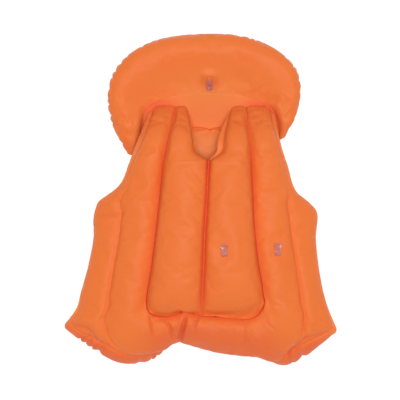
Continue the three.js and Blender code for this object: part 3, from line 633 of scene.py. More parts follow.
def back_half(side, outside, t):
    """Half of the back: two tubes side by side, and a cushion that shows in the neck."""
    outer, inner = guide([row[outside] for row in BACK])(t), inner_edge(BACK, side)(t)
    width = np.linalg.norm(inner - outer, axis=1)[:, None]
    tube = spaced(BACK_COLUMNS // 2) / 2
    u = np.concatenate([[0], tube, 0.5 + tube[1:]])[None, :]
    border = BACK_FLAT / width
    share = np.concatenate([0 * border, mix(border, 1, u[:, 1:])], axis=1)
    points = outer[:, None] + (inner - outer)[:, None] * share[..., None]
    points[..., 2] = mix(inner[:, None, 2], outer[:, None, 2], (1 - share) ** BACK_CURL)
    points[:, 0] = outer
    full, weld = BACK_HALF * column(BACK, "full", t)[:, None], column(BACK, "weld", t)[:, None]
    blown = mix(dome(2 * u - 1, TUBE_POWER), dome(4 * u - 2 * (u > 0.5) - 1, TUBE_POWER), weld)
    nape_edge = inner_edge(BACK, side)(first_shared(BACK) / (len(BACK) - 1))[1]
    below = np.clip((nape_edge - inner[:, 1]) / NAPE_RISE, 0, 1)[:, None]
    nape = ramp((inner[:, 1] - NAPE_LOW) / NAPE_RISE)[:, None] * (below > 0)
    cushion = mix(blown, dome(1 - u, TUBE_POWER) * dome(1 - below, ROUND_POWER), (u > 0.5) * ramp(2 * u - 1))
    normals = grid_normals(points)
    gap = np.minimum(np.minimum(u, 1 - u), np.abs(u - 0.5)) * width
    return dict(
        points=points,
        normals=shared_normals(normals, inner, share, t * (len(BACK) - 1) > first_shared(BACK) - 0.01),
        over=np.maximum(FILM_HALF, full * mix(blown, cushion, nape)),
        gap=gap,
        along=run_along(inner)[:, None] + 0 * gap,
        pucker=PUCKER["back"] * (1 - nape) + 0 * gap,
        weld=np.where(share < border, 1.0, 0.0),
        # painted shade in the weld valleys, and painted light on the cushion in the neck hollow
        seam=SHADE_PAINT["weld"] * weld_shade_paint(gap) * (1 - nape),
        pale=LIGHT_PAINT["nape"] * nape + 0 * u,
        inward=0 * points,
    )


back_curves = (guide([row["outL"] for row in BACK]), inner_edge(BACK, "left"))
back_t, back_meet = paired_stations(BACK, back_curves)
back_sides = (("left", "outL"), ("right", "outR"))
back_panel = skin("back_panel_film", [back_half(*side, back_t) for side in back_sides], back_meet)

# %% [markdown]
# ## The collar and its neck flap
#
# The collar is one crescent-shaped air pillow behind the head. Its outer weld carries a narrow flat
# border that the air pulls into small gathers. Inside the inner weld, the two films go on as a flat
# flap down to the neck. In the table, outer and inner are the pillow's two welds on the plan, full is
# how full it is there, and flap is the flap's lower end.

# %% Stations of the collar
COLLAR = named_rows("outer inner full flap", [
    ((-95, 62), (-91, 60.5), 0.03, (-90, 60.3, 31)),
    ((-106, 82), (-86, 77), 0.4, (-83.5, 76.3, 31)),
    ((-116, 103), (-81.5, 96), 0.64, (-79, 95.5, 34)),
    ((-122, 126), (-79, 112), 0.79, (-75, 110, 39)),
    ((-122.5, 149), (-75, 127), 0.9, (-70.5, 115.5, 41)),
    ((-115.5, 174), (-65, 135), 0.97, (-61, 117.5, 41)),
    ((-95, 197.5), (-50, 140.5), 1, (-38, 117.5, 41)),
    ((-65, 214.5), (-32, 144.5), 1, (-17, 117.5, 36)),
    ((-28, 222.5), (-10, 147), 1, (-9, 102.5, 26.5)),
    ((14, 225), (14, 148), 1, (14, 101, 26.5)),
    ((55, 222.5), (38, 147), 1, (36, 102.5, 26.5)),
    ((87, 212.5), (60, 144), 1, (45, 117.5, 36)),
    ((113, 196.5), (80, 138.5), 0.99, (68, 117.5, 41)),
    ((130, 177), (94, 132), 0.95, (92, 117.5, 41)),
    ((135, 154.5), (102, 124), 0.87, (101, 115.5, 41)),
    ((132.5, 133), (106, 113), 0.74, (103, 110.5, 39)),
    ((126, 111.5), (109, 100), 0.53, (106.8, 99, 34)),
    ((113, 84.5), (110, 83), 0.03, (109.2, 82.6, 31)),
])
COLLAR_HALF, COLLAR_COLUMNS = 33, 30  # half thickness, and columns across the pillow
COLLAR_WELD_Z, NAPE_LIFT = 31, 10  # height of the weld, and how far its inner side is lifted at the nape
OUTER_POWER, INNER_POWER = 0.5, 1.12  # how steeply the pillow rises from its two welds
ARM_POWER, ARM_ROWS = 0.45, (2, 5)  # the collar's arms rise sooner from their inner weld, up to these rows
COLLAR_FLATNESS = 1.12  # above 1 the top is broader and flatter
FRONT_SHARE = 0.94  # the front of the pillow is a little flatter than its back
RIM_BAND, RIM_WELD = 6, 1.2  # the border outside the weld, and what of it stays flat
FLAP_ROWS = (0.2, 16.8)  # rows between which the flap hangs
FLAP_STATIONS, FLAP_COLUMNS = 96, 17  # points along and across the flap
FLAP_SAG, FLAP_SPAN = 2.5, 30  # how far it sags where it is at least so long
NAPE_ROWS = (5.5, 12.5)  # between these rows the flap and the collar's inner side get painted light, beside them painted shade
NAPE_LIGHT_PAINT, COLLAR_LIGHT_PAINT = 0.3, 0.6  # how far up the pillow painted light reaches, at the nape and all along
STRAP_SHADE, SHADE_FADE = 44, 14  # how far from its end the flap gets painted shade beside the straps, and the fade
FLAP_LAP = 7  # how far the flap goes on under the straps and the back panel


def lifted(row):
    """The lift of the inner weld, which is highest in the middle of the nape."""
    return NAPE_LIFT * math.sin(math.pi * row / (len(COLLAR) - 1)) ** 0.5


collar_out = guide([(*row["outer"], COLLAR_WELD_Z) for row in COLLAR])
collar_in = guide([(*row["inner"], COLLAR_WELD_Z + lifted(k)) for k, row in enumerate(COLLAR)])
collar_flap = guide([row["flap"] for row in COLLAR])
print(f"the collar's outer weld is {run_along(collar_out(np.linspace(0, 1, 999)))[-1]:.0f} mm long")


# %% Collar and flap grids
def nape_of(t):
    """1 in the middle of the nape, 0 beside the straps."""
    row = t[:, None] * (len(COLLAR) - 1)
    return ramp((row - NAPE_ROWS[0]) / 2) * ramp((NAPE_ROWS[1] - row) / 2)


def collar_grid():
    """The pillow from its inner weld, over its top, to the gathered border."""
    t = even_stations((collar_out, collar_out, collar_in), STEP)
    out, inside = collar_out(t), collar_in(t)
    width = np.linalg.norm(out - inside, axis=1)[:, None]
    pillow = 1 + (RIM_BAND - RIM_WELD) / width
    rim = pillow + RIM_WELD / width * [[0.5, 1]]
    share = np.concatenate([pillow * spaced(COLLAR_COLUMNS)[None, :], rim], axis=1)
    x = np.clip(share / pillow, 0, 1)
    from_tip = np.minimum(t, 1 - t)[:, None] * (len(COLLAR) - 1)
    power = mix(ARM_POWER, INNER_POWER, ramp((from_tip - ARM_ROWS[0]) / (ARM_ROWS[1] - ARM_ROWS[0])))
    peak = power / (power + OUTER_POWER)
    rise = x**power * (1 - x) ** OUTER_POWER
    rise /= peak**power * (1 - peak) ** OUTER_POWER
    rise = 1 - (1 - rise) ** COLLAR_FLATNESS
    full = COLLAR_HALF * column(COLLAR, "full", t)[:, None]
    to_in, to_out = x * width, (1 - x) * width
    at_out = to_out < to_in
    turn = np.abs(t - 0.5)[:, None] * 2
    # The border is gathered most at the shoulders, less behind the head and at the tips
    pull = np.clip(0.25 + 1.3 * turn, 0, 1) * np.clip(3.6 - 3.2 * turn, 0.3, 1)
    points = inside[:, None] + (out - inside)[:, None] * share[..., None]
    return dict(
        points=points,
        normals=grid_normals(points),
        over=np.maximum(FILM_HALF, FRONT_SHARE * full * rise),
        under=np.maximum(FILM_HALF, full * dome(2 * x - 1, ROUND_POWER)),
        gap=np.minimum(to_in, to_out),
        along=np.where(at_out, run_along(out)[:, None], run_along(inside)[:, None]),
        pucker=np.where(at_out, pull, 0.0),
        weld=np.where(x >= 1, 1.0, 0.0),
        seam=0.0,
        # painted light on the pillow's inner side, more at the nape
        pale=np.maximum(
            LIGHT_PAINT["flap"] * nape_of(t) * (1 - ramp(x / NAPE_LIGHT_PAINT)),
            LIGHT_PAINT["collar"] * (1 - ramp(x / COLLAR_LIGHT_PAINT)),
        ),
        inward=unit(inside - out)[:, None] * np.where(at_out, 1.0, 0.0)[..., None],
    )


def flap_grid():
    """The flat film from its end under straps and back up to the collar's inner weld."""
    ends = [row / (len(COLLAR) - 1) for row in FLAP_ROWS]
    t = mix(ends[0], ends[1], np.linspace(0, 1, FLAP_STATIONS))
    weld, end = collar_in(t), collar_flap(t)
    end = end + unit(end - weld) * FLAP_LAP - [[0, FLAP_LAP, 0]]
    width = np.linalg.norm(end - weld, axis=1)[:, None]
    share = np.linspace(1, -WELD_LAP / FLAP_SPAN, FLAP_COLUMNS)[None, :] + 0 * width
    points = weld[:, None] + (end - weld)[:, None] * share[..., None]
    points[..., 2] -= FLAP_SAG * np.sin(np.pi * share) * np.minimum(1, width / FLAP_SPAN)
    nape = nape_of(t)
    gap = (1 - share) * width
    return dict(
        points=points,
        normals=grid_normals(points),
        over=np.full(share.shape, FILM_HALF),
        gap=gap,
        along=run_along(end)[:, None] + 0 * share,
        pucker=0.0,
        weld=0.0,
        # painted shade on the flap beside the strap tops, and painted light in the nape
        seam=SHADE_PAINT["flap"] * (1 - nape) * ramp((STRAP_SHADE - gap) / SHADE_FADE),
        pale=LIGHT_PAINT["flap"] * nape + 0 * share,
        inward=0 * points,
    )


collar = skin("collar_film", [collar_grid()])
neck_flap = skin("neck_flap_film", [flap_grid()])

# %% [markdown]
# ## Air
#
# Air pressure is what gives the real vest its form: the film can't stretch, so a blown tube pulls its
# welds together and the spare film buckles into small gathers. Blender's Cloth does the same. The welds
# are pinned, the film is let grow by two percent, and pressure pushes it out. A cap keeps each point
# close to where it started, so the pieces stay clear of each other.

# %% Blow up a piece
AIR_FRAMES = 16
PIN_REACH, PIN_LEAST = 4, 0.6  # film that is nearer to a weld than this is pinned too, less firmly
PIN_LEVELS = (1.0, 0.5)  # how firmly a point can be pinned
PIN_BELOW, PIN_ABOVE = 0.45, 0.05  # a level takes up what is so far below or above it
scene = bpy.context.scene


def places_of(mesh):
    places = np.empty(len(mesh.vertices) * 3, np.float32)
    mesh.vertices.foreach_get("co", places)
    return places.reshape(-1, 3).astype(float)


def note(mesh, name):
    """One of the notes that a mesh keeps beside its points."""
    layer = mesh.attributes[name]
    size = 3 if layer.data_type == "FLOAT_VECTOR" else 1
    values = np.empty(len(mesh.vertices) * size, np.float32)
    layer.data.foreach_get("vector" if size == 3 else "value", values)
    return values.reshape(-1, 3).astype(float) if size == 3 else values.astype(float)


def put(mesh, places):
    """Writes places in metres back to a mesh; nothing goes below the table."""
    places[:, 2] = np.maximum(places[:, 2], 0)
    mesh.vertices.foreach_set("co", places.astype(np.float32).ravel())
    mesh.update()


def air(piece, growth, pressure, cap):
    """Blows a piece up between its pinned welds."""
    mesh = piece.data
    start = places_of(mesh)
    held = piece.vertex_groups.new(name="held")
    weld = note(mesh, "weld")
    near = np.clip(1 - note(mesh, "gap") / PIN_REACH, 0, 1) * np.maximum(weld, PIN_LEAST)
    pinned = np.maximum(near, weld)
    for level in PIN_LEVELS:
        chosen = np.flatnonzero((pinned > level - PIN_BELOW) & (pinned <= level + PIN_ABOVE))
        held.add(chosen.tolist(), level, "REPLACE")
    cloth = piece.modifiers.new("Air", "CLOTH")
    film = cloth.settings
    film.quality = 6
    film.mass = 0.2
    film.tension_stiffness = film.compression_stiffness = 30
    film.shear_stiffness = 12
    film.bending_stiffness = 0.4
    film.tension_damping = film.compression_damping = 12
    film.shrink_min = film.shrink_max = -growth
    film.use_pressure = True
    film.uniform_pressure_force = pressure
    film.vertex_group_mass = "held"
    film.effector_weights.gravity = 0
    cloth.collision_settings.use_collision = False
    cloth.collision_settings.use_self_collision = False
    cloth.point_cache.frame_start, cloth.point_cache.frame_end = 1, AIR_FRAMES
    for number in range(1, AIR_FRAMES + 1):
        scene.frame_set(number)
    graph = bpy.context.evaluated_depsgraph_get()
    blown = places_of(piece.evaluated_get(graph).data)
    piece.modifiers.clear()
    scene.frame_set(1)
    moved = blown - start
    far = np.linalg.norm(moved, axis=1, keepdims=True)
    limit = cap * MM * np.tanh(far / (cap * MM)) / np.maximum(far, TINY)
    put(mesh, start + moved * limit)
    print(f"{piece.name}: air moved the film {far.mean() / MM:.1f} mm, {far.max() / MM:.1f} mm at most")


AIR_CAP = {"outer_chamber": 3, "inner_chamber": 3, "collar": 4, "back_panel": 2}  # cap in millimetres
for piece in (outer_chamber, inner_chamber, collar, back_panel):
    air(piece, growth=0.02, pressure=3, cap=AIR_CAP[node_of(piece)])

# %% One subdivision of every soft piece
SOFT = (outer_chamber, inner_chamber, back_panel, collar, neck_flap)


def plain(piece):
    """Turns a piece with its modifiers into a plain mesh."""
    graph = bpy.context.evaluated_depsgraph_get()
    mesh = bpy.data.meshes.new_from_object(piece.evaluated_get(graph))
    piece.modifiers.clear()
    piece.data = mesh
    mesh.name = piece.name
    return piece


for piece in SOFT:
    finer = piece.modifiers.new("Finer", "SUBSURF")
    finer.levels = finer.render_levels = 1
    plain(piece)
    print(f"{piece.name}: {len(piece.data.polygons) * 2} triangles after subdivision")

# %% [markdown]
# ## The valves
#
# Each air chamber has a soft clear valve: a round base that is welded to the film, a stem, and a plug
# on a strap. The frame says where they stand. A valve's axis is the direction in which the points of its
# body spread least, so it is found from the solid itself and the finer pieces stand exactly where the
# plain ones did.

# %% Where the valves stand
CHAMBER_OF = {"collar": collar, "inner": inner_chamber, "outer": outer_chamber}


def node_points(name):
    return np.unique(np.round(places_of(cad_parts[name].data), 6), axis=0)


def valve_frame(name):
    """The middle of a valve's base, its axis and the way its strap points, read from the CAD solids."""
    body, plug = node_points(name + "_valve_body"), node_points(name + "_valve_plug")
    middle = body.mean(axis=0)
    axis = np.linalg.eigh(np.cov((body - middle).T))[1][:, 0]
    axis *= np.sign(axis[2])
    base = middle + axis * ((body - middle) @ axis).min()
    side = plug.mean(axis=0) - base
    strap = unit(side - axis * (side @ axis))
    return base, axis, strap


valve_frames = {name: valve_frame(name) for name in CHAMBER_OF}
for name, (base, axis, strap) in valve_frames.items():
    print(name, "valve base at", np.round(base / MM, 1), "mm, axis", np.round(axis, 2))

# %% [markdown]
# ## Dimples, folds and gathers
#
# The film dips round each valve and is drawn into rays there. Below the chest tubes, at the corners and
# at the straps it was folded when it was packed, and those folds stay as creases. A sculptor would brush
# them in; here each fold is a short line on the plan with a depth and a width, so that the same creases
# come out every time.

# %% Dimples round the valves
VALVE_BASE = 9
DIMPLES = {  # reach of the dip, number and height of the rays in it
    "collar": dict(reach=9, rays=5, height=0.5),
    "inner": dict(reach=18, rays=6, height=0.3),
    "outer": dict(reach=14, rays=6, height=0.5),
}
STRAP_ROOM, STRAP_TURN = 5.2, 0.42  # how much further the dip goes under the strap, and its half angle
BASE_ROOM = 1  # flat film round a valve's base
RAYS_END, DIP_END = 3.2, 4  # how far rays and dip can go, in radii of the base
DIP_DEPTH = 20  # film that is further above or below the base stays as it is
BASE_COVER = 1.5  # the film lies over the valve's base at this height


def press_valve(name):
    """Presses the film down to a valve's base, with rays of small folds round it."""
    piece, dip = CHAMBER_OF[name], DIMPLES[name]
    base, axis, strap = valve_frames[name]
    places, upper = places_of(piece.data), note(piece.data, "upper")
    off = (places - base) / MM
    height = off @ axis
    flat = off - height[:, None] * axis
    radius = np.linalg.norm(flat, axis=1)
    across = np.cross(axis, strap)
    turn = np.arctan2(flat @ across, flat @ strap)
    room = STRAP_ROOM * np.exp(-((turn / STRAP_TURN) ** 2))
    edge = VALVE_BASE + BASE_ROOM + room
    out = np.clip((radius - edge) / dip["reach"], 0, 1)
    rays = dip["height"] * np.cos(dip["rays"] * turn + 0.7 * np.sin(2 * turn))
    rays *= np.exp(-(((out - 0.45) / 0.4) ** 2))
    rays *= (radius > edge) * (radius < RAYS_END * VALVE_BASE)
    sunk = (BASE_COVER - height) * (1 - ramp(out)) + rays
    near = (upper > 0.5) & (radius < DIP_END * VALVE_BASE) & (np.abs(height) < DIP_DEPTH)
    put(piece.data, places + np.where(near, sunk, 0)[:, None] * axis * MM)
    print(f"{name} valve: the film dips {-sunk[near].min():.1f} mm")


for name in CHAMBER_OF:
    press_valve(name)

# %% Folds in the film
FOLDS = [  # line on the plan, depth and half width of the crease, in millimetres
    dict(line=[(-69.5, -160), (-67, -174), (-65.5, -188)], depth=3.4, wide=1.7),
    dict(line=[(-52, -163), (-42, -174), (-37, -188)], depth=3.4, wide=1.8),
    dict(line=[(-19.5, -158), (-22.5, -173), (-28.8, -195)], depth=5.5, wide=2.2),
    dict(line=[(-2.5, -160), (-6, -168), (-9.5, -176)], depth=4.0, wide=1.7),
    dict(line=[(65, -168), (64, -182), (62.5, -197)], depth=1.6, wide=1.8),
    dict(line=[(91, -168), (96, -173), (101, -178)], depth=1.4, wide=1.8),
    dict(line=[(-172, -172), (-155, -177), (-141, -194)], depth=2.6, wide=2.8),
    dict(line=[(-138, -21), (-122, -21.5), (-108, -21)], depth=1.2, wide=2.2),
    dict(line=[(146, -190), (132, -203), (120, -216)], depth=3.2, wide=3.2),
    dict(line=[(146, -190), (158, -187), (172, -182)], depth=2.4, wide=2.8),
    dict(line=[(122, -210), (123.5, -218), (125, -226)], depth=2.2, wide=2.4),
    dict(line=[(-34, 122), (-34.5, 114), (-37, 104)], depth=2.0, wide=2.2),
    dict(line=[(63, 120), (63.5, 111), (66, 102)], depth=1.4, wide=2.2),
    dict(line=[(100, 114), (101.5, 107), (103, 100)], depth=2.2, wide=2.0),
]
FOLD_SHADE_PAINT = 0.2  # how much painted shade a fold puts into the film for each millimetre of depth
FOLD_STEPS = 40  # steps in which a fold's line is walked
SHOULDER, SHOULDER_PLACE = 0.25, 2.4  # height of a fold's shoulders, and where they are in half widths


def fold_shape(places, fold):
    """How deep one fold presses each point: a crease with soft shoulders that fades out at both ends."""
    path = guide([(x, y, 0) for x, y in fold["line"]])(np.linspace(0, 1, FOLD_STEPS + 1))
    near = np.full(len(places), 1e9)
    place = np.zeros(len(places))
    flat = places[:, :2] / MM
    for k, point in enumerate(path[:, :2]):
        away = np.linalg.norm(flat - point, axis=1)
        place = np.where(away < near, k / FOLD_STEPS, place)
        near = np.minimum(near, away)
    fade = np.sin(np.pi * np.clip(0.12 + 0.76 * place, 0, 1)) ** 0.6
    x = near / fold["wide"]
    shoulders = SHOULDER * np.exp(-((x - SHOULDER_PLACE) ** 2))
    return fold["depth"] * fade * (np.exp(-(x**1.3)) - shoulders)


def press_folds(piece):
    """Presses all folds into a piece and paints shade into them."""
    mesh = piece.data
    places, push = places_of(mesh), note(mesh, "push")
    upper = np.maximum(note(mesh, "upper"), note(mesh, "weld"))
    depth = sum(fold_shape(places, fold) for fold in FOLDS) * upper
    put(mesh, places + push * (depth * MM)[:, None])
    fold_shade = np.maximum(note(mesh, "seam"), FOLD_SHADE_PAINT * np.clip(depth, 0, None)).astype(np.float32)
    mesh.attributes["seam"].data.foreach_set("value", fold_shade)
    print(f"{piece.name}: folds up to {depth.max():.1f} mm deep")


for piece in (outer_chamber, inner_chamber):
    press_folds(piece)

# %% [markdown]
# ## Gathers along the welds
#
# A weld that runs round a blown edge is longer than the edge it is pulled to, so it gathers: small
# valleys, a finger's width apart, that start at the weld and die away up the film, and that nick the
# outline. They repeat along a path, so they are made by Geometry Nodes from the notes that each point
# carries.

# %% Nodes for the gathers
JITTER, JITTER_PACE = 1.6, 0.03  # how far valleys stray, and how quickly that changes along the weld
UNEVEN_PACE = 0.021  # how quickly their depth changes along the weld
UNEVEN_LOW, UNEVEN_HIGH = 0.36, 0.62  # random values that stand for no depth and for full depth
UNEVEN_SEED = 31  # keeps the depths apart from the straying
VALLEY_POWER = 1.5  # how narrow the valleys are


def arithmetic(tree, operation, *values):
    """A Math node with numbers or other sockets on its inputs."""
    node = tree.nodes.new("ShaderNodeMath")
    node.operation = operation
    for socket, value in zip(node.inputs, values):
        if isinstance(value, (int, float)):
            socket.default_value = value
        else:
            tree.links.new(value, socket)
    return node.outputs[0]


def scaled(tree, vector, factor):
    """A vector times a number, both sockets."""
    node = tree.nodes.new("ShaderNodeVectorMath")
    node.operation = "SCALE"
    tree.links.new(vector, node.inputs[0])
    tree.links.new(factor, node.inputs["Scale"])
    return node.outputs[0]


def kept_note(tree, name, kind="FLOAT"):
    """A socket with one of the notes that the points carry."""
    node = tree.nodes.new("GeometryNodeInputNamedAttribute")
    node.data_type = kind
    node.inputs["Name"].default_value = name
    return next(socket for socket in node.outputs if socket.enabled and socket.name == "Attribute")


def wander(tree, along, pace, seed):
    """A slow random line along a weld, from 0 to 1."""
    noise = tree.nodes.new("ShaderNodeTexNoise")
    noise.noise_dimensions = "1D"
    noise.inputs["Scale"].default_value = 1
    noise.inputs["Detail"].default_value = 1
    tree.links.new(arithmetic(tree, "MULTIPLY_ADD", along, pace, seed), noise.inputs["W"])
    return noise.outputs[0]


print(f"valleys stray by up to {JITTER / 2:.1f} spacings from their place")


# %% Gather tree
def gather_tree():
    """The tree that presses valleys into the film beside its welds, and its inputs by name."""
    tree = bpy.data.node_groups.new("gather_weld", "GeometryNodeTree")
    sockets = {}
    tree.interface.new_socket("Geometry", in_out="INPUT", socket_type="NodeSocketGeometry")
    for name in ("Height", "Nick", "Spacing", "Reach", "Seed"):
        number = tree.interface.new_socket(name, in_out="INPUT", socket_type="NodeSocketFloat")
        sockets[name] = number.identifier
    finish = tree.interface.new_socket("Finish", in_out="INPUT", socket_type="NodeSocketMaterial")
    sockets["Finish"] = finish.identifier
    tree.interface.new_socket("Geometry", in_out="OUTPUT", socket_type="NodeSocketGeometry")
    given, result = tree.nodes.new("NodeGroupInput"), tree.nodes.new("NodeGroupOutput")
    size = given.outputs
    along, gap = kept_note(tree, "along"), kept_note(tree, "gap")
    jitter = arithmetic(tree, "MULTIPLY", wander(tree, along, JITTER_PACE, size["Seed"]), JITTER)
    phase = arithmetic(tree, "ADD", arithmetic(tree, "DIVIDE", along, size["Spacing"]), jitter)
    swing = arithmetic(tree, "SINE", arithmetic(tree, "MULTIPLY", phase, math.pi))
    hill = arithmetic(tree, "ABSOLUTE", swing)
    valley = arithmetic(tree, "POWER", arithmetic(tree, "SUBTRACT", 1, hill), VALLEY_POWER)
    uneven = wander(tree, along, UNEVEN_PACE, arithmetic(tree, "ADD", size["Seed"], UNEVEN_SEED))
    strength = tree.nodes.new("ShaderNodeMapRange")
    strength.inputs["From Min"].default_value = UNEVEN_LOW
    strength.inputs["From Max"].default_value = UNEVEN_HIGH
    tree.links.new(uneven, strength.inputs["Value"])
    drawn = arithmetic(tree, "MULTIPLY", valley, strength.outputs[0])
    drawn = arithmetic(tree, "MULTIPLY", drawn, kept_note(tree, "pucker"))
    far = arithmetic(tree, "DIVIDE", arithmetic(tree, "MULTIPLY", gap, -1), size["Reach"])
    drawn = arithmetic(tree, "MULTIPLY", drawn, arithmetic(tree, "EXPONENT", far))
    push, inward = (kept_note(tree, name, "FLOAT_VECTOR") for name in ARROWS)
    down = scaled(tree, push, arithmetic(tree, "MULTIPLY", drawn, size["Height"]))
    nick = scaled(tree, inward, arithmetic(tree, "MULTIPLY", drawn, size["Nick"]))
    both = tree.nodes.new("ShaderNodeVectorMath")
    tree.links.new(down, both.inputs[0])
    tree.links.new(nick, both.inputs[1])
    move = tree.nodes.new("GeometryNodeSetPosition")
    tree.links.new(given.outputs["Geometry"], move.inputs["Geometry"])
    tree.links.new(both.outputs[0], move.inputs["Offset"])
    smooth = tree.nodes.new("GeometryNodeSetShadeSmooth")
    real = tree.nodes.new("GeometryNodeRealizeInstances")
    dress = tree.nodes.new("GeometryNodeSetMaterial")
    chain = (move, smooth, real, dress, result)
    for before, after in zip(chain, chain[1:]):
        tree.links.new(before.outputs[0], after.inputs[0])
    tree.links.new(size["Finish"], dress.inputs["Material"])
    return tree, sockets


gather_weld, gather_sockets = gather_tree()
print("gather tree with", len(gather_weld.nodes), "nodes and inputs", list(gather_sockets))

# %% [markdown]
# ## Orange film
#
# The film is soft PVC in one warm orange, satin rather than glossy. Light goes a little way into it.
# Painted shade darkens it in the weld valleys and folds, beside the straps and on the drooping hem and
# border; painted light brightens the strap edges and tops, the neck lip, the flap, the nape and the
# collar's inner side. Close up there is a fine leathery grain, and over a hand's breadth the film is
# never quite even. A picture of film would show these too, but noise in the piece's own space has no
# edges and no repeat.

# %% Orange film material
def shader(tree, kind, **inputs):
    """A shader node with numbers or sockets on its named inputs."""
    node = tree.nodes.new(kind)
    for name, value in inputs.items():
        socket = node.inputs[name.replace("_", " ")]
        if isinstance(value, bpy.types.NodeSocket):
            tree.links.new(value, socket)
        else:
            socket.default_value = value
    return node


def spread(tree, value, low, high, to_low, to_high):
    """A value stretched from one range to another."""
    node = tree.nodes.new("ShaderNodeMapRange")
    for name, number in zip(("From Min", "From Max", "To Min", "To Max"), (low, high, to_low, to_high)):
        node.inputs[name].default_value = number
    tree.links.new(value, node.inputs["Value"])
    return node.outputs[0]


def blended(tree, share, a, b, kind="MIX"):
    """A colour mix; a and b are colours or sockets."""
    node = tree.nodes.new("ShaderNodeMix")
    node.data_type = "RGBA"
    node.blend_type = kind
    for socket, value in ((node.inputs[0], share), (node.inputs[6], a), (node.inputs[7], b)):
        if isinstance(value, bpy.types.NodeSocket):
            tree.links.new(value, socket)
        else:
            socket.default_value = value
    return node.outputs[2]


FILM_ORANGE = (0.90, 0.205, 0.046, 1)
FILM_DEEP = (0.87, 0.185, 0.041, 1)
# The next two colours are painted light and painted shade, which the notes pale and seam mix in
FILM_LIGHT_PAINT = (0.91, 0.290, 0.085, 1)
FILM_SHADE_PAINT = (0.78, 0.108, 0.050, 1)


def film_material():
    made = bpy.data.materials.new("orange_film")
    made.use_nodes = True
    tree = made.node_tree
    body = tree.nodes["Principled BSDF"]
    place = tree.nodes.new("ShaderNodeTexCoord").outputs["Object"]
    cloud = shader(tree, "ShaderNodeTexNoise", Vector=place, Scale=14.0, Detail=3.0).outputs["Fac"]
    fine = shader(tree, "ShaderNodeTexNoise", Vector=place, Scale=420.0, Detail=4.0).outputs["Fac"]
    grain = shader(tree, "ShaderNodeTexVoronoi", Vector=place, Scale=1500.0).outputs["Distance"]
    tone = blended(tree, spread(tree, cloud, 0.35, 0.65, 0, 0.35), FILM_ORANGE, FILM_DEEP)
    tone = blended(tree, spread(tree, fine, 0.3, 0.7, 0, 0.06), tone, FILM_DEEP)
    # the painted light (pale) and painted shade (seam) notes are mixed into the film colour
    for name, colour in (("pale", FILM_LIGHT_PAINT), ("seam", FILM_SHADE_PAINT)):
        kept = tree.nodes.new("ShaderNodeAttribute")
        kept.attribute_name = name
        tone = blended(tree, kept.outputs["Fac"], tone, colour)
    tree.links.new(tone, body.inputs["Base Color"])
    rough = spread(tree, fine, 0.3, 0.7, 0.40, 0.52)
    tree.links.new(rough, body.inputs["Roughness"])
    coarse = shader(tree, "ShaderNodeBump", Strength=0.25, Distance=0.0008, Height=fine)
    small = shader(tree, "ShaderNodeBump", Strength=0.12, Distance=0.0002, Height=grain)
    tree.links.new(coarse.outputs[0], small.inputs["Normal"])
    tree.links.new(small.outputs[0], body.inputs["Normal"])
    body.inputs["Specular IOR Level"].default_value = 0.12
    body.inputs["Subsurface Weight"].default_value = 0.12
    body.inputs["Subsurface Radius"].default_value = (1.0, 0.35, 0.12)
    body.inputs["Subsurface Scale"].default_value = 0.004
    return made


orange_film = film_material()
print("orange film:", len(orange_film.node_tree.nodes), "nodes")

# %% Gather the welds and dress the film
GATHERS = {  # height of the valleys, nick in the outline, spacing and reach up the film, in millimetres
    "outer_chamber": dict(Height=2.2, Nick=2.6, Spacing=14, Reach=9, Seed=3),
    "inner_chamber": dict(Height=1.4, Nick=0.0, Spacing=14, Reach=7, Seed=11),
    "back_panel": dict(Height=1.4, Nick=0.0, Spacing=13, Reach=8, Seed=19),
    "collar": dict(Height=3.0, Nick=3.0, Spacing=12, Reach=9, Seed=5),
    "neck_flap": dict(Height=0.0, Nick=0.0, Spacing=10, Reach=8, Seed=7),
}
LENGTHS = ("Height", "Nick")


def gather(piece):
    modifier = piece.modifiers.new("Gathers", "NODES")
    modifier.node_group = gather_weld
    for name, value in GATHERS[node_of(piece)].items():
        modifier[gather_sockets[name]] = float(value * MM if name in LENGTHS else value)
    modifier[gather_sockets["Finish"]] = orange_film
    before = places_of(piece.data)
    plain(piece)
    places = places_of(piece.data)
    put(piece.data, places)
    print(f"{piece.name}: gathers move the film up to {np.abs(places - before).max() / MM:.1f} mm")


for piece in SOFT:
    gather(piece)

# %% [markdown]
# ## Valve bodies and plugs
#
# The body is turned: a thin round base and a short stem with a bore. The plug is a turned pin with a
# cap, and a flat strap that folds back to the base so that the plug can't get lost. Turned shapes come
# from a profile with its corners rounded; the strap is a flat section swept along its fold. A Screw
# modifier could turn the profile too, but then its doubled points on the axis would still have to be
# merged.

# %% Turned and swept shapes
TURN_SIDES, BAND_SIDES = 40, 16  # sides of a turned shape and of the strap's section
ROUND_STEPS = 4  # points in a rounded corner
END_ROUNDING = 0.4  # how much narrower the strap is at its end


def rounded(profile, radius):
    """A profile with each corner replaced by a small bend."""
    points = [np.array(p, float) for p in profile]
    bent = [points[0]]
    for before, corner, after in zip(points, points[1:], points[2:]):
        room = min(radius, np.linalg.norm(before - corner) / 2, np.linalg.norm(after - corner) / 2)
        first = corner + unit(before - corner) * room
        last = corner + unit(after - corner) * room
        for share in np.linspace(0, 1, ROUND_STEPS):
            bent.append(mix(mix(first, corner, share), mix(corner, last, share), share))
    return np.array(bent + [points[-1]])


def turned(profile, ring):
    """Points and quads of a profile of radius and height turned about Z; ring closes it on itself."""
    turns = np.linspace(0, 2 * math.pi, TURN_SIDES, endpoint=False)
    around = np.stack([np.cos(turns), np.sin(turns)], axis=-1)
    places = np.concatenate([
        profile[:, None, :1] * around[None],
        np.broadcast_to(profile[:, None, 1:], (len(profile), TURN_SIDES, 1)),
    ], axis=-1)
    index = np.arange(places.shape[0] * TURN_SIDES).reshape(-1, TURN_SIDES)
    index = np.concatenate([index, index[:, :1]], axis=1)
    index = np.concatenate([index, index[:1]]) if ring else index
    return places.reshape(-1, 3), sheet_faces(index)


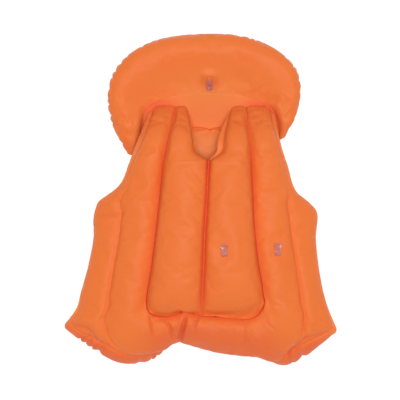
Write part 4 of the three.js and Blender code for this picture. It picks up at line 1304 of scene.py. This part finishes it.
def swept(path, wide, thick):
    """A rounded band along a path in the plane of strap and axis, closed at both ends."""
    turns = np.linspace(0, 2 * math.pi, BAND_SIDES, endpoint=False)
    flat = np.abs(np.cos(turns)) ** 0.45 * np.sign(np.cos(turns)) * wide / 2
    high = np.abs(np.sin(turns)) ** 0.6 * np.sign(np.sin(turns)) * thick / 2
    ahead = unit(np.gradient(path, axis=0))
    over = np.stack([-ahead[:, 2], 0 * ahead[:, 0], ahead[:, 0]], axis=-1)
    rounding = 1 - END_ROUNDING * np.linspace(0, 1, len(path)) ** 6
    places = path[:, None] + over[:, None] * high[None, :, None]
    places[..., 1] += rounding[:, None] * flat
    index = np.arange(len(path) * BAND_SIDES).reshape(len(path), BAND_SIDES)
    caps = [list(index[0]), list(index[-1])]
    around = sheet_faces(np.concatenate([index, index[:, :1]], axis=1))
    return places.reshape(-1, 3), around.tolist() + caps


def valve_part(name, places, faces, valve):
    """A valve piece stood up on its place, closed and smooth."""
    base, axis, strap = valve_frames[valve]
    turn = np.stack([strap, np.cross(axis, strap), axis])
    mesh = bpy.data.meshes.new(name)
    mesh.from_pydata((base + places @ turn * MM).tolist(), [], [list(f) for f in faces])
    piece = closed(name, mesh)
    mesh.polygons.foreach_set("use_smooth", [True] * len(mesh.polygons))
    return piece


print("a square corner is rounded with", ROUND_STEPS, "points, a turned ring has", TURN_SIDES, "sides")

# %% Bodies and plugs
STRAP_STEPS = 36  # points along the strap's fold
VALVE = dict(  # sizes in millimetres
    base_radius=9, base_thick=1.2, stem_radius=4.4, stem_height=8.5, bore_radius=2.9,
    pin_radius=2.4, pin_length=5, cap_radius=5.2, cap_thick=2.6,
    strap_wide=9, strap_thick=1.4, strap_reach=8.4, clear=0.3, bevel=0.8,
)


def valve_body(valve):
    """A thin round base with a stem and its bore."""
    bore, stem, base = VALVE["bore_radius"], VALVE["stem_radius"], VALVE["base_radius"]
    thick, high, bevel = VALVE["base_thick"], VALVE["stem_height"], VALVE["bevel"]
    profile = [
        (bore, thick / 2), (bore, 0), (base, 0), (base, thick), (stem + bevel, thick),
        (stem, thick + bevel), (stem, high), (bore, high), (bore, thick),
    ]
    return valve_part(valve + "_valve_body_clear", *turned(rounded(profile, 0.5), ring=True), valve)


def valve_plug(valve):
    """A pin with a cap, joined to its folded strap."""
    pin, cap, thick = VALVE["pin_radius"], VALVE["cap_radius"], VALVE["strap_thick"]
    seat = VALVE["stem_height"] + VALVE["clear"]
    tip, top = seat - VALVE["pin_length"], seat + VALVE["cap_thick"]
    profile = [
        (0, tip), (pin - 0.5, tip), (pin, tip + 1), (pin, seat), (cap, seat),
        (cap, top), (cap - 1.6, top), (1.6, top - 0.5), (0, top - 0.5),
    ]
    plug = valve_part(valve + "_valve_plug_clear", *turned(rounded(profile, 0.7), ring=False), valve)
    outer = cap + VALVE["strap_reach"] - thick / 2
    low = VALVE["base_thick"] + VALVE["clear"] + thick / 2
    fold = guide([
        (cap - 1.2, 0, seat + 1.1), (cap + 2, 0, seat + 0.9), (outer - 1.6, 0, seat - 0.2),
        (outer - 0.2, 0, seat - 3), (outer - 0.9, 0, low + 0.9), (VALVE["base_radius"] - 2, 0, low + 0.1),
    ])(np.linspace(0, 1, STRAP_STEPS))
    strap = valve_part(valve + "_strap", *swept(fold, VALVE["strap_wide"], thick), valve)
    join = plug.modifiers.new("Strap", "BOOLEAN")
    join.operation, join.solver, join.object = "UNION", "EXACT", strap
    plain(plug)
    bpy.data.objects.remove(strap)
    plug.data.polygons.foreach_set("use_smooth", [True] * len(plug.data.polygons))
    return plug


VALVE_PIECES = [make(valve) for valve in CHAMBER_OF for make in (valve_body, valve_plug)]
print("valve pieces:", [piece.name for piece in VALVE_PIECES])

# %% [markdown]
# ## Clear valve plastic
#
# The valves are soft clear PVC. Over orange film they look pinkish and milky, with small bright glints.
# Most of the light passes through, and a cloudy noise keeps the moulding from looking like glass.

# %% Clear valve material
CLEAR_PINK = (0.62, 0.17, 0.20, 1)
CLEAR_PALE = (0.80, 0.46, 0.47, 1)


def valve_material():
    made = bpy.data.materials.new("clear_valve")
    made.use_nodes = True
    tree = made.node_tree
    body = tree.nodes["Principled BSDF"]
    place = tree.nodes.new("ShaderNodeTexCoord").outputs["Object"]
    cloud = shader(tree, "ShaderNodeTexNoise", Vector=place, Scale=260.0, Detail=3.0).outputs["Fac"]
    tone = blended(tree, spread(tree, cloud, 0.3, 0.7, 0, 1), CLEAR_PINK, CLEAR_PALE)
    tree.links.new(tone, body.inputs["Base Color"])
    tree.links.new(spread(tree, cloud, 0.3, 0.7, 0.10, 0.24), body.inputs["Roughness"])
    bump = shader(tree, "ShaderNodeBump", Strength=0.2, Distance=0.0003, Height=cloud)
    tree.links.new(bump.outputs[0], body.inputs["Normal"])
    body.inputs["Alpha"].default_value = 0.22
    body.inputs["Coat Weight"].default_value = 0.5
    body.inputs["Coat Roughness"].default_value = 0.08
    return made


clear_valve = valve_material()
for piece in VALVE_PIECES:
    piece.data.materials.clear()
    piece.data.materials.append(clear_valve)
print("clear plastic on", len(VALVE_PIECES), "pieces")

# %% [markdown]
# ## Table, light and camera
#
# The vest lies on a plain pale table under very soft light, a touch brighter from the upper right. The
# camera looks straight down from far away with a long lens, so that tubes near the edge aren't seen
# from the side.

# %% Stage
PHOTO_SIDE = 400  # pixels
PIXEL = 1.38  # millimetres
CAMERA_HEIGHT = 5.0
VEST_HEIGHT = 0.06  # where the scale of the picture holds
TABLE_HALF = 6.0


def make_table():
    mesh = bpy.data.meshes.new("table")
    corners = [(x * TABLE_HALF, y * TABLE_HALF, 0) for x, y in ((-1, -1), (1, -1), (1, 1), (-1, 1))]
    mesh.from_pydata(corners, [], [(0, 1, 2, 3)])
    made = bpy.data.materials.new("pale_table")
    made.use_nodes = True
    body = made.node_tree.nodes["Principled BSDF"]
    body.inputs["Base Color"].default_value = (0.2, 0.2, 0.2, 1)
    body.inputs["Roughness"].default_value = 0.9
    body.inputs["Specular IOR Level"].default_value = 0.1
    body.inputs["Emission Color"].default_value = (1, 1, 1, 1)
    body.inputs["Emission Strength"].default_value = 0.9
    mesh.materials.append(made)
    table = bpy.data.objects.new("table", mesh)
    scene.collection.objects.link(table)


def soft_sun(name, towards, power, spread_degrees):
    """A broad light from far away; towards points from the vest to the light."""
    lamp = bpy.data.lights.new(name, "SUN")
    lamp.energy = power
    lamp.angle = math.radians(spread_degrees)
    light = bpy.data.objects.new(name, lamp)
    light.rotation_euler = Vector(towards).to_track_quat("Z", "Y").to_euler()
    scene.collection.objects.link(light)


def make_camera():
    lens = bpy.data.cameras.new("camera")
    lens.sensor_width = 36
    lens.lens = 36 * (CAMERA_HEIGHT - VEST_HEIGHT) / (PHOTO_SIDE * PIXEL * MM)
    lens.clip_end = 50
    camera = bpy.data.objects.new("camera", lens)
    camera.location = (0, 0, CAMERA_HEIGHT)
    scene.collection.objects.link(camera)
    scene.camera = camera


make_table()
soft_sun("overhead", (0.03, 0.02, 1), 1.8, 22)
soft_sun("glint", (0.1, 0.12, 1), 0.1, 1.5)
sky = bpy.data.worlds.new("sky")
sky.use_nodes = True
sky.node_tree.nodes["Background"].inputs["Color"].default_value = (1, 1, 1, 1)
sky.node_tree.nodes["Background"].inputs["Strength"].default_value = 0.38
scene.world = sky
scene.view_settings.view_transform = "Standard"
make_camera()
print(f"lens {scene.camera.data.lens:.0f} mm")

# %% [markdown]
# ## Hand over
#
# Every piece rides on the one body of the vest, stands for its CAD node and names its finish.

# %% Ride and replace
for piece in SOFT:
    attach(piece, "root")
    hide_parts(node_of(piece))
for piece in VALVE_PIECES:
    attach(piece, "root")
    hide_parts(node_of(piece))
